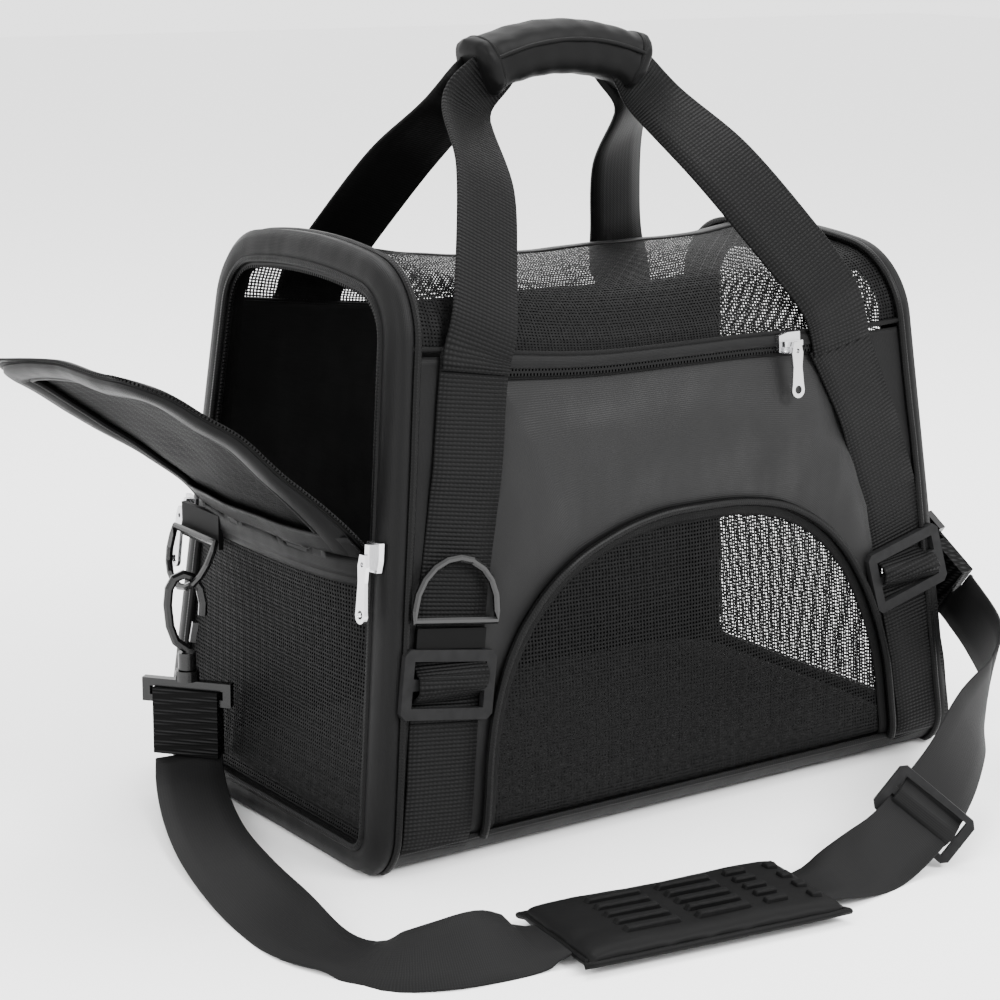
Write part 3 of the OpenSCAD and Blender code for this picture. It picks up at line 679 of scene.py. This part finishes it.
# ------------------------------------------------------------ mesh top
sT0, sT1 = s_front(SEAM + .002), 1 - s_front(SEAM + .002)
LT = (sT1 - sT0) * SLEN


def F_top(x, v, o=0.0):
    return skin(x, sT0 + np.asarray(v) / SLEN, o)


def in_top(x, v):
    zz = np.interp(sT0 + np.asarray(v) / SLEN, S, SP[:, 1])
    return (np.abs(x) < xe(zz) - 0.005) & (np.asarray(v) > 0) & (np.asarray(v) < LT)


put(net("top_mesh", F_top, -.172, .172, 0, LT, in_top, M_net, pitch=.0021, wire=.00112), "bag", ["top_panel"])
# the dark band near the back edge of the mesh top
sb = np.linspace(s_front(.2975), s_front(.2975) + 0.0, 1)
vb = np.linspace(LT * 0.665, LT * 0.665 + 0.016, 6)
X = np.linspace(-1, 1, 90)
P = np.array([F_top(X * .163, np.full_like(X, v), 0.0008 + 0.0008 * math.sin(math.pi * k / 5)) for k,
              v in enumerate(vb)])
put(sheet("top_binding", P, M_nylon, thick=0.0008), "bag", ["top_binding"])

# ------------------------------------------------------------ arched window
def in_arch_fn(d):
    O = arch_scaled(d)
    top = O[:, 1].max()
    i = int(O[:, 1].argmax())
    L, Rr = O[: i + 1], O[i:]

    def inside(x, zz):
        x, zz = np.broadcast_arrays(np.asarray(x, float), np.asarray(zz, float))
        xl = np.interp(zz, L[:, 1], L[:, 0])
        xr = np.interp(zz, Rr[::-1, 1], Rr[::-1, 0])
        return (x > xl) & (x < xr) & (zz < top) & (zz > ZB)
    return inside


def F_front(x, zz, o=0.0):
    return front(x, zz, o - 0.001)


put(net("front_window_mesh", F_front, -.137, .153, ZB, .169, in_arch_fn(0.001), M_net, pitch=.0021,
        wire=.00098), "bag", ["front_window"])
A0 = arch_scaled(0.0)
put(tube("window_piping", front(A0[:, 0], np.maximum(A0[:, 1], ZB), 0.0032), 0.0023, M_piping, 10), "bag",
    ["window_piping"])
b0, b1 = arch_scaled(-0.001), arch_scaled(-0.0075)
P = np.array([front(b0[:, 0] * (1 - t) + b1[:, 0] * t, np.maximum(b0[:, 1] * (1 - t) + b1[:, 1] * t, ZB),
                    0.0012 - 0.0012 * t) for t in np.linspace(0, 1, 5)])
put(sheet("window_binding", P, M_binding, thick=0.0008, flip=True), "bag", ["window_piping"])

# ------------------------------------------------------------ end hoops
FLOOR_GAP = .0023  # the pipings' radius and a little more


def hoop_loop(side, inset, out, along=None, n=240):
    """A closed loop on an end: inset from the outline on the end plane, or along inward on the shell."""
    ts = np.linspace(0, 1, n, endpoint=False)
    if along is not None:
        zz = np.interp(ts, S, SP[:, 1])
        q = skin(side * (xe(zz) - along), ts, out)
        q[:, 2] = np.maximum(q[:, 2], FLOOR_GAP)
        return q
    _, p, nn, _l = section(inset)
    t0 = np.linspace(0, 1, len(p))
    y, zz = np.interp(ts, t0, p[:, 0]), np.interp(ts, t0, p[:, 1])
    nr = np.stack([np.interp(ts, t0, nn[:, 0]), np.interp(ts, t0, nn[:, 1])], -1)
    q = disp(side * xe(zz), np.stack([y, zz], -1), nr)
    q[:, 0] += side * (xe(zz) + out)
    q[:, 1] += y
    q[:, 2] = np.maximum(q[:, 2] + zz, FLOOR_GAP)
    return q


for side, nm in ((-1, "left"), (1, "right")):
    loops = [hoop_loop(side, 0, .0004, along=.0085), hoop_loop(side, 0, .0018, along=.005),
             hoop_loop(side, 0, .0012, along=.0015),
             hoop_loop(side, .0025, .0012), hoop_loop(side, .007, .0022), hoop_loop(side, .011, .0022),
             hoop_loop(side, .0145, -.0005)]
    P = np.array(loops)
    put(sheet(nm + "_hoop", P, M_nylon, wrap=True, thick=0.001 * (1 if side > 0 else -1)), "bag", [nm + "_rim"])
    put(tube(nm + "_piping_outer", hoop_loop(side, 0, .0022, along=.0088), .0022, M_piping, 10, closed=True,
             up=(1, 0, 0)), "bag", [nm + "_piping_outer"])
    put(tube(nm + "_piping_inner", hoop_loop(side, .0135, .0022), .0022, M_piping, 10, closed=True,
             up=(1, 0, 0)), "bag", [nm + "_piping_inner"])
    inner_l = hoop_loop(side, .0145, -.0005), hoop_loop(side, .016, -.004), hoop_loop(side, .0145, -.009)
    put(sheet(nm + "_hoop_lining", np.array(inner_l), M_lining, wrap=True, thick=0.0006), "bag", [nm + "_rim"])


def inset_half(inset):
    _, p, _n, _l = section(inset)
    h = p[: len(p) // 2 + 1]
    return lambda zz: np.interp(zz, h[:, 1], -h[:, 0], left=0, right=0), h[-1, 1], inset


Y14, Z14, _ = inset_half(0.0145)


def hoop_shift(side, y, zz):
    """The end plane's lift, shared by everything on it."""
    nr = np.zeros(np.broadcast(y, zz).shape + (2,))
    nr[..., 1] = 1
    p = np.stack(np.broadcast_arrays(np.asarray(y, float), np.asarray(zz, float)), -1)
    return disp(side * xe(p[..., 1]), p, nr)[..., 2]


def end_pt(side, y, zz, out):
    y, zz, out = np.broadcast_arrays(np.asarray(y, float), np.asarray(zz, float), np.asarray(out, float))
    return np.stack([side * (xe(zz) + out), y, zz + hoop_shift(side, y, zz)], -1)


def F_right(y, zz, o=0.0):
    k = np.clip(1 - (np.abs(y) / np.maximum(Y14(zz), 1e-3)) ** 2, 0, 1) * np.clip(1 - ((zz - .15) / .145) ** 2, 0, 1)
    return end_pt(1, y, zz, .005 * k + o)


put(net("right_end_mesh", F_right, -.105, .105, .014, Z14, lambda y,
        zz: (np.abs(y) < Y14(zz) + .001) & (zz < Z14) & (zz > .014), M_net, pitch=.0021, wire=.00098), "bag",
        ["right_end_panel"])


def low_bulge(y, zz):
    k = np.clip(1 - (np.abs(y) / np.maximum(Y14(zz), 1e-3)) ** 2.6, 0, 1)
    g = np.clip((zz - .014) / (DOOR_Z - .014), 0, 1)
    return k ** 0.6 * (0.0185 * g ** 2.8 + 0.0008 * np.sin(math.pi * g))


def F_left(y, zz, o=0.0):
    return end_pt(-1, y, zz, low_bulge(y, zz) + o)


put(net("left_end_mesh", F_left, -.105, .105, .014, .149, lambda y,
        zz: (np.abs(y) < Y14(zz) + .001) & (zz < .1485), M_net, pitch=.0021, wire=.00098), "bag",
        ["left_end_panel"])
zz = np.linspace(.146, DOOR_Z - .002, 8)
yy = np.linspace(-1, 1, 70)
P = np.array([F_left(yy * (Y14(q) + .001), np.full_like(yy, q), .0012 + .0008 * math.sin(3.14 * k / 7)) for k,
              q in enumerate(zz)])
put(sheet("left_end_band", P, M_nylon, thick=0.0012), "bag", ["left_end_panel"])

# ------------------------------------------------------------ door
DL = 0.150
TH0, TH1 = math.radians(36), math.radians(60)
ls = np.linspace(0, DL, 80)
th = TH0 + (TH1 - TH0) * smooth(ls / DL)
DX = np.r_[0, np.cumsum(-np.sin((th[1:] + th[:-1]) / 2) * np.diff(ls))]
DZ = np.r_[0, np.cumsum(np.cos((th[1:] + th[:-1]) / 2) * np.diff(ls))]
Y18, Z18, _ = inset_half(0.018)
LTOP = Z18 - .0015


def door_half(l):
    """Half the door's width at the distance l from its fold."""
    zq = DOOR_Z + (l / DL) ** 1.7 * (LTOP - DOOR_Z)
    return np.maximum(Y18(np.minimum(zq, Z18 - 1e-5)), 0)


def F_door(y, l, o=0.0):
    y, l, o = np.broadcast_arrays(np.asarray(y, float), np.asarray(l, float), np.asarray(o, float))
    t = np.interp(l, ls, th)
    cup = 0.010 * (np.abs(y) / .085) ** 2 * smooth(l / .05) - 0.004 * smooth(l / .05)
    wav = 0.0012 * waves(y, l, .06, 21)
    droop = 0.018 * smooth(l / .10) * np.clip(y / .085, 0, 1.2) ** 1.5
    oo = o + wav - cup * 0.6 + droop
    x = -HL - .0005 + np.interp(l, ls, DX) - np.cos(t) * oo
    edge_pull = (0.0185 - low_bulge(y, np.full_like(y, DOOR_Z - .002))) * (1 - smooth(l / .06))
    return np.stack([x + edge_pull, y, DOOR_Z + np.interp(l, ls, DZ) - np.sin(t) * oo], -1)


def door_outline(d, n=200):
    """Outline of the door in (y, l), left foot over the top to right foot, moved inward by d."""
    l = np.concatenate([np.linspace(.004, DL * .6, 40),
                        DL * .6 + DL * .4 * np.sin(np.linspace(0, math.pi / 2, 60))[1:]])
    y = door_half(l)
    P = np.vstack([np.c_[-y, l], np.c_[y, l][::-1][1:]])
    Q = P.copy()
    t = unit(np.gradient(P, axis=0))
    nn = np.c_[t[:, 1], -t[:, 0]]
    Q = P + nn * d
    dd = np.r_[0, np.cumsum(np.linalg.norm(np.diff(P, axis=0), axis=1))]
    tt = np.linspace(0, dd[-1], n)
    return np.c_[np.interp(tt, dd, Q[:, 0]), np.interp(tt, dd, Q[:, 1])]


def door_part(ob, node):
    """A piece of the flap, on the door body with a mesh of its own."""
    put(ob, "door", [node])
    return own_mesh(ob)


rows = []
for d, o in ((0, .0016), (.001, .0034), (.005, .0046), (.011, .0048), (.0155, .0030), (.0165, .0004),
             (.0155, -.0014), (.011, -.0028), (.005, -.0026), (.001, -.0018), (0, -.0004)):
    q = door_outline(d)
    q[:, 1] = np.maximum(q[:, 1], .003)
    rows.append(F_door(q[:, 0], q[:, 1], o))
rows.append(rows[0])
door_part(sheet("door_band", np.array(rows), M_nylon), "door_frame")
q = door_outline(.0165)
door_part(tube("door_piping", F_door(q[:, 0], np.maximum(q[:, 1], .003), .002), .0019, M_piping, 8),
          "door_frame")
qt = door_outline(-.0022)
C = F_door(qt[:, 0], qt[:, 1], 0.0)
Nn = unit(F_door(qt[:, 0], qt[:, 1], .001) - C)
door_part(teeth("door_teeth", C, Nn, M_teeth), "door_frame")
rows = [F_door(door_outline(d)[:, 0], np.maximum(door_outline(d)[:, 1], .003), o) for d,
        o in ((.003, .0), (.0, .0003), (-.0022, .0))]
door_part(sheet("door_tape", np.array(rows), M_tape, thick=0.0007), "door_frame")


def in_door(y, l):
    """True on the door's mesh, inside its bound edge."""
    l = np.asarray(l)
    half = door_half(np.clip(l + .0155 * smooth((l - .08) / .05), 0, DL)) - .0145
    return (np.abs(y) < half) & (l < DL - .014) & (l > .004)


door_part(net("door_mesh", F_door, -.09, .09, .004, DL, in_door, M_net, pitch=.0021, wire=.00098), "door_mesh")
q0 = door_outline(.012)
rows = []
for f_ in np.linspace(1, 0, 16):
    rows.append(F_door(q0[:, 0] * f_, np.maximum(q0[:, 1], .004), -.0008))
door_part(sheet("door_lining", np.array(rows), M_lining, thick=0.0007), "door_mesh")
# the band the door folds on
P = []
for k, l in enumerate(np.linspace(-.012, .016, 10)):
    y = np.linspace(-1, 1, 70) * (Y14(DOOR_Z) - .001)
    if l < 0:
        P.append(F_left(y, np.full_like(y, DOOR_Z - .002 + l), .0022))
    else:
        P.append(F_door(y * (1 - .5 * l), np.full_like(y, l), .0028))
fold = sheet("door_fold", np.array(P), M_nylon, thick=0.0012)
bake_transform(fold)

# zip round the door opening
Lp = hoop_loop(-1, .0165, .0006, n=480)
k = np.flatnonzero(Lp[:, 2] > DOOR_Z - .016)
zp = Lp[k]
nrm = np.tile((-1, 0, .1), (len(zp), 1))
put(teeth("opening_teeth", zp + np.array((-.0006, 0, 0)), nrm, M_teeth), "bag", ["door_zip"])
Lq = [hoop_loop(-1, i, o, n=480)[k] for i, o in ((.0125, -.0002), (.0145, .0006), (.0165, .0002), (.0175, -.0004))]
put(sheet("opening_tape", np.array(Lq), M_tape, thick=0.0007), "bag", ["door_zip"])

# ------------------------------------------------------------ webbing
def lay_web(name, pts, fn, nodes, mat=M_web, over=None):
    """Webbing sewn to the face, passing over the middle bar of its glide at height over."""
    q = spline(np.asarray(pts), .002)
    off = .0014 + .0012 * smooth((q[:, 1] - .178) / .03)
    if over:
        d = np.abs(q[:, 1] - over) * 1.01
        off = np.where(d < .048, .0012, off)
        off = off + .0076 * (1 - smooth((d - .0025) / .0080))
    P = fn(q[:, 0], q[:, 1], off)
    W = fn(q[:, 0] + .002, q[:, 1], off) - fn(q[:, 0] - .002, q[:, 1], off)
    N = np.tile((0, -1 if fn is front else 1, .08), (len(P), 1))
    ob = strap(name, P, W, N, .042, .0020, mat)
    return put(ob, "bag", nodes)


WBL = np.array([(-.172, .012), (-.155, .130), (-.113, .260)])
WBR = np.array([(.172, .012), (.155, .130), (.113, .260)])
lay_web("web_front_left", WEBL, front, ["web_front_left"], over=.0985)
lay_web("web_front_right", WEBR, front, ["web_front_right"], over=.1125)
lay_web("web_back_left", WBL, back, ["web_back_left"], M_web, over=.0985)
lay_web("web_back_right", WBR, back, ["web_back_right"], M_web, over=.1125)

GL, GR, GTOP = -.068, .046, .422
GCX = (GL + GR) / 2


def leg(name, pts, fn, xg, yg, mat):
    s = 1 if xg > GCX else -1
    sy = -1 if fn is front else 1
    lo = fn(web_x(pts, .250), .250, .0044)
    top = fn(web_x(pts, .264), .264, .0046)
    top[2] = .263
    p1 = np.array([xg, yg, .390])
    d = unit(p1 - top)
    w0 = unit(np.array([1, 0, -(top - lo)[0] / (top - lo)[2]]))
    wd = np.array([d[2], 0, -d[0]])
    rows = [
        [*lo, *w0, .042],
        [*top, *w0, .042],
        [*(top * .90 + p1 * .10 + np.array([0, sy * .006, .002])), *(w0 * .5 + wd * .5), .042],
        [*(top * .72 + p1 * .28 + np.array([0, sy * .007, .003])), *wd, .042],
        [*(top * .38 + p1 * .62 + np.array([0, sy * .005, .003])), *wd, .041],
        [*(p1 + np.array([s * .009, 0, -.012])), *wd, .034],
        [*(p1 + np.array([-s * .012, 0, .010])), .5, 0, s * .87, .026]]
    q = spline(np.array(rows), .004)
    ob = strap(name, q[:, :3], q[:, 3:6], np.tile((0, sy, .3), (len(q), 1)), q[:, 6], .0022, mat)
    put(ob, "bag", [name])
    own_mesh(ob)
    return ob


leg("leg_front_left", WEBL, front, GL + .002, -.008, M_web)
leg("leg_front_right", WEBR, front, GR - .004, -.008, M_web)
# the back legs use the webbing's darker copy: painted shade
leg("leg_back_left", WBL, back, GL + .004, .008, M_web_shaded)
leg("leg_back_right", WBR, back, GR - .004, .008, M_web_shaded)

# ------------------------------------------------------------ grip
def puff(ob, pressure, voxel, frames_n=18, shrink=0.0, stiff=15):
    """Inflates a closed mesh as cloth, then keeps the result."""
    r = ob.modifiers.new("remesh", "REMESH")
    r.mode = "VOXEL"
    r.voxel_size = voxel
    bpy.context.view_layer.objects.active = ob
    bpy.ops.object.modifier_apply(modifier="remesh")
    start = np.array([v.co[:] for v in ob.data.vertices])
    c = ob.modifiers.new("cloth", "CLOTH")
    st = c.settings
    st.use_pressure = True
    st.uniform_pressure_force = pressure
    st.tension_stiffness = st.compression_stiffness = stiff
    st.bending_stiffness = 0.6
    st.shrink_min = shrink
    st.effector_weights.gravity = 0
    c.point_cache.frame_start, c.point_cache.frame_end = 1, frames_n
    for f in range(1, frames_n + 1):
        scene.frame_set(f)
    dg = bpy.context.evaluated_depsgraph_get()
    ev = ob.evaluated_get(dg).to_mesh()
    co = np.array([v.co[:] for v in ev.vertices])
    ob.modifiers.remove(c)
    move = co - start
    ln = np.linalg.norm(move, axis=1, keepdims=True)
    move *= np.minimum(1, .006 / np.maximum(ln, 1e-9))
    co = start + move
    for v, p in zip(ob.data.vertices, co):
        v.co = p
    scene.frame_set(1)
    for p in ob.data.polygons:
        p.use_smooth = True
    m = ob.modifiers.new("sub", "SUBSURF")
    m.levels = m.render_levels = 1
    return ob


def grip_mesh():
    r0 = .150
    half = (GR - GL) / 2 + .004
    a = math.asin(half / r0)
    n = 70
    V = []
    th_ = np.linspace(-a, a, n)
    m = 40
    for i, t in enumerate(th_):
        e = 1 - abs(i / (n - 1) * 2 - 1)
        ends = 1 + .16 * math.exp(-((e - .10) / .06) ** 2) - .22 * math.exp(-(e / .035) ** 2)
        if t < 0:
            ends += .10 * math.exp(-((e - .04) / .05) ** 2)
        hz, hy = .0150 * ends, .0155 * ends
        c = np.array([GCX + (r0 - .014) * math.sin(t), 0, GTOP - r0 + (r0 - .014) * math.cos(t)])
        out = np.array([math.sin(t), 0, math.cos(t)])
        for j in range(m):
            f = 2 * math.pi * j / m
            cz, cy = math.cos(f), math.sin(f)
            k = (abs(cz) ** 2.6 + abs(cy) ** 2.6) ** (-1 / 2.6)
            w = 1 + .035 * math.sin(9 * f + 30 * t) * math.exp(-(e / .3) ** 2) + .02 * math.sin(t * 55 + 2 * f)
            V.append(c + out * hz * cz * k * w + np.array([0, 1, 0]) * hy * cy * k * w)
    f = [tuple(q) for q in grid_faces(n, m, True)] + [tuple(range(m))[::-1], tuple((n - 1) * m + i for i in range(m))]
    uv = [(j / m * .1, i / n * .13) for i in range(n) for j in range(m)]
    return make("grip", V, f, M_grip, uv)


grip = puff(grip_mesh(), 2.5, .0032, 14)
put(grip, "grip_body", ["grip"])
# the wrap's overlapping edge and its stitched ends
ga = math.asin((GR - GL) / 2 / .150 * .93)
tg = np.linspace(-ga, ga, 60)
sy_, sz_ = -.0158, .0045
e_ = np.array([(GCX + (.136 + sz_) * math.sin(t), sy_ - .0003 * math.sin(40 * t),
                GTOP - .150 + (.136 + sz_) * math.cos(t)) for t in tg])
put(tube("grip_edge", e_, .0013, M_binding, 8), "grip_body", ["grip"])
for k_, tt in enumerate((-ga * .985, ga * .985)):
    o_ = np.array([math.sin(tt), 0, math.cos(tt)])
    c_ = np.array([GCX + .136 * math.sin(tt), 0, GTOP - .150 + .136 * math.cos(tt)])
    f_ = np.linspace(0, 2 * math.pi, 48, endpoint=False)
    rr = (np.abs(np.cos(f_)) ** 2.6 + np.abs(np.sin(f_)) ** 2.6) ** (-1 / 2.6)
    ring_ = c_ + o_ * (.0152 * rr * np.cos(f_))[:, None] + np.array([0, 1, 0]) * (.0158 * rr * np.sin(f_))[:, None]
    put(tube("grip_cuff_%d" % k_, ring_, .0014, M_binding, 8, closed=True, up=(1, 0, 0)), "grip_body", ["grip"])

# ------------------------------------------------------------ mat
def mat_mesh():
    n = 60
    xs = np.linspace(-1, 1, n)
    V, F = [], []
    P = []
    for k in range(2):
        for i in xs:
            for j in np.linspace(-1, 1, 34):
                x, y = i * .187, j * .105
                sx, sy = abs(i) ** 6, abs(j) ** 6
                edge = max(0, 1 - sx) ** .35 * max(0, 1 - sy) ** .35
                h = .0145 * edge * (1 + .06 * math.sin(x * 60) * math.sin(y * 70))
                P.append((x, y, .0075 + (h if k else 0)))
    m = 34
    f0 = grid_faces(n, m)
    f1 = grid_faces(n, m)[:, ::-1] + n * m
    faces = [tuple(q) for q in f0] + [tuple(q) for q in f1]
    rim = [i * m for i in range(n)] + [(n - 1) * m + j for j in range(1,

                                                                      m)] + [i * m + m - 1 for i in range(n - 2, -1, -1)] + [j for j in range(m - 2, 0, -1)]
    for a, b in zip(rim, rim[1:] + rim[:1]):
        faces.append((b, a, a + n * m, b + n * m))
    return make("base_mat", P, faces, M_fleece, [(p[0], p[1]) for p in P])


mat_ob = puff(mat_mesh(), 1.5, .0055, 12)
put(mat_ob, "bag", ["base_mat"])

# ------------------------------------------------------------ shoulder pad
PC, PA = np.array([-.101, -.239, 0]), math.radians(-7.5)


def pad_xy(a, b, zq):
    c, s_ = math.cos(PA), math.sin(PA)
    return (PC[0] + a * c - b * s_, PC[1] + a * s_ + b * c, zq)


def pad_mesh():
    n, m = 60, 28
    P = []
    for k in range(2):
        for i in np.linspace(-1, 1, n):
            for j in np.linspace(-1, 1, m):
                a, b = i * .072, j * .034
                e = max(0, 1 - abs(i) ** 10) ** .4 * max(0, 1 - abs(j) ** 8) ** .4
                zz = .0052 + (.0052 if k else -.0046) * (0.35 + 0.65 * e)
                P.append(pad_xy(a, b, zz + .0012 * math.sin(i * 2.2) ** 2))
    f0 = grid_faces(n, m)[:, ::-1]
    f1 = grid_faces(n, m) + n * m
    faces = [tuple(q) for q in f0] + [tuple(q) for q in f1]
    rim = [i * m for i in range(n)] + [(n - 1) * m + j for j in range(1,

                                                                      m)] + [i * m + m - 1 for i in range(n - 2, -1, -1)] + [j for j in range(m - 2, 0, -1)]
    for a, b in zip(rim, rim[1:] + rim[:1]):
        faces.append((a, b, b + n * m, a + n * m))
    return make("shoulder_pad", P, faces, M_pad, [(p[0], p[1]) for p in P])


pad = puff(pad_mesh(), 1.0, .0028, 10)
put(pad, "bag", ["shoulder_pad"])
V, F = [], []


def block(a, b, la, lb, h0, h1):
    q = np.array([(a + sa * la / 2, b + sb * lb / 2) for sa in (-1, 1) for sb in (-1, 1)])
    base = len(V)
    for hh, sc in ((h0, 1.0), (h1, .82)):
        for x, y in q:
            V.append(pad_xy(a + (x - a) * sc, b + (y - b) * sc, hh))
    F.extend(tuple(base + i for i in f) for f in ((0, 1, 3, 2), (4, 6, 7, 5), (0, 4, 5, 1), (2, 3, 7, 6),
                                                  (0, 2, 6, 4), (1, 5, 7, 3)))


for b in np.linspace(-.019, .019, 5):
    for a, la in ((-.030, .034), (.010, .034), (.040, .014)):
        block(a, b, la, .0052, .0100, .0142)
for b in np.linspace(-.020, .020, 4):
    block(.062, b, .007, .007, .0098, .0134)
ribs = make("pad_ribs", V, F, M_pad, [(v[0], v[1]) for v in V], smooth_shade=False)
bevel(ribs, .0008, 2, 30)
put(ribs, "bag", ["shoulder_pad"])
edge = [pad_xy(a, b, .0052) for a, b in spline(np.array([(-.0715, -.030), (-.0715, 0), (-.0715, .030),
                                                         (-.068, .0335), (0, .034), (.068, .0335),
                                                         (.0715, .030), (.0715, 0), (.0715, -.030),
                                                         (.068, -.0335), (0, -.034), (-.068, -.0335)]), .004,
                                                         closed=True)]
put(tube("pad_edge", np.array(edge), .0018, M_binding, 8, closed=True), "bag", ["shoulder_pad"])

# ------------------------------------------------------------ CAD hardware keeps its shape
def dress(name, mat, w=.0006):
    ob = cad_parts[name]
    ob.data.materials.clear()
    ob.data.materials.append(mat)
    if w:
        bevel(ob, w, 2, 30)


for n_ in ("glide_front_left", "glide_front_right", "glide_back_left", "glide_back_right", "strap_slider"):
    dress(n_, M_plastic, .0009)
for n_ in ("hook_left", "gate_left", "swivel_left", "hook_right", "gate_right", "swivel_right"):
    dress(n_, M_gloss, .0006)
for n_ in ("slider_front", "pull_front", "slider_back", "pull_back", "pocket_slider", "pocket_pull"):
    dress(n_, M_nickel, .0005)
for n_ in ("front_ring", "end_ring_left", "end_ring_right"):
    dress(n_, M_wire, 0)
dress("base_board", M_board, .0005)
for n_ in ("ring_tab_front", "end_tab_left", "end_tab_right"):
    dress(n_, M_web, .0006)
for n_ in ("loop_left", "loop_right"):
    dress(n_, M_fold, .0006)

# the strap's fold over the slider's middle bar: its width, its outward side and its run, from the slider's middle
FOLD_W, FOLD_OUT, FOLD_RUN = np.array([[.535, -.58, -.615], [-.605, -.785, .13], [.598, -.215, .77]])
slider_mid = np.array([.054, -.243, .026])
run = np.linspace(-.0098, .0098, 24)
rise = .0012 + .0052 * (1 - smooth((np.abs(run) - .002) / .0072))
P = slider_mid + np.outer(rise, FOLD_OUT) + np.outer(run, FOLD_RUN)
wrap = strap("strap_fold", P, np.tile(FOLD_W, (24, 1)), np.tile(FOLD_OUT, (24, 1)), .037, .0017, M_strap)
put(wrap, "bag", ["shoulder_strap"])

# ------------------------------------------------------------ floor and light
bpy.ops.mesh.primitive_plane_add(size=14, location=(0, 0, -.0005))
floor = bpy.context.object
floor.name = "floor"
fm = mat_base("floor", (.93, .93, .93), .8, .1)[0]
floor.data.materials.append(fm)
world = bpy.data.worlds.new("world")
scene.world = world
world.use_nodes = True
world.node_tree.nodes["Background"].inputs[0].default_value = (1, 1, 1, 1)
world.node_tree.nodes["Background"].inputs[1].default_value = 2.5


def area(name, loc, size, power, aim=(0, 0, .15)):
    d = bpy.data.lights.new(name, "AREA")
    d.shape = "RECTANGLE"
    d.size, d.size_y = size
    d.energy = power
    o = bpy.data.objects.new(name, d)
    scene.collection.objects.link(o)
    o.location = loc
    o.rotation_euler = (Vector(loc) - Vector(aim)).to_track_quat("Z", "Y").to_euler()
    return o


area("key", (.6, -1.6, 1.5), (.9, .7), 60)
area("left", (-1.7, -.5, 1.0), (.6, 1.0), 20)
area("top", (.2, .5, 2.0), (1.4, 1.0), 45)
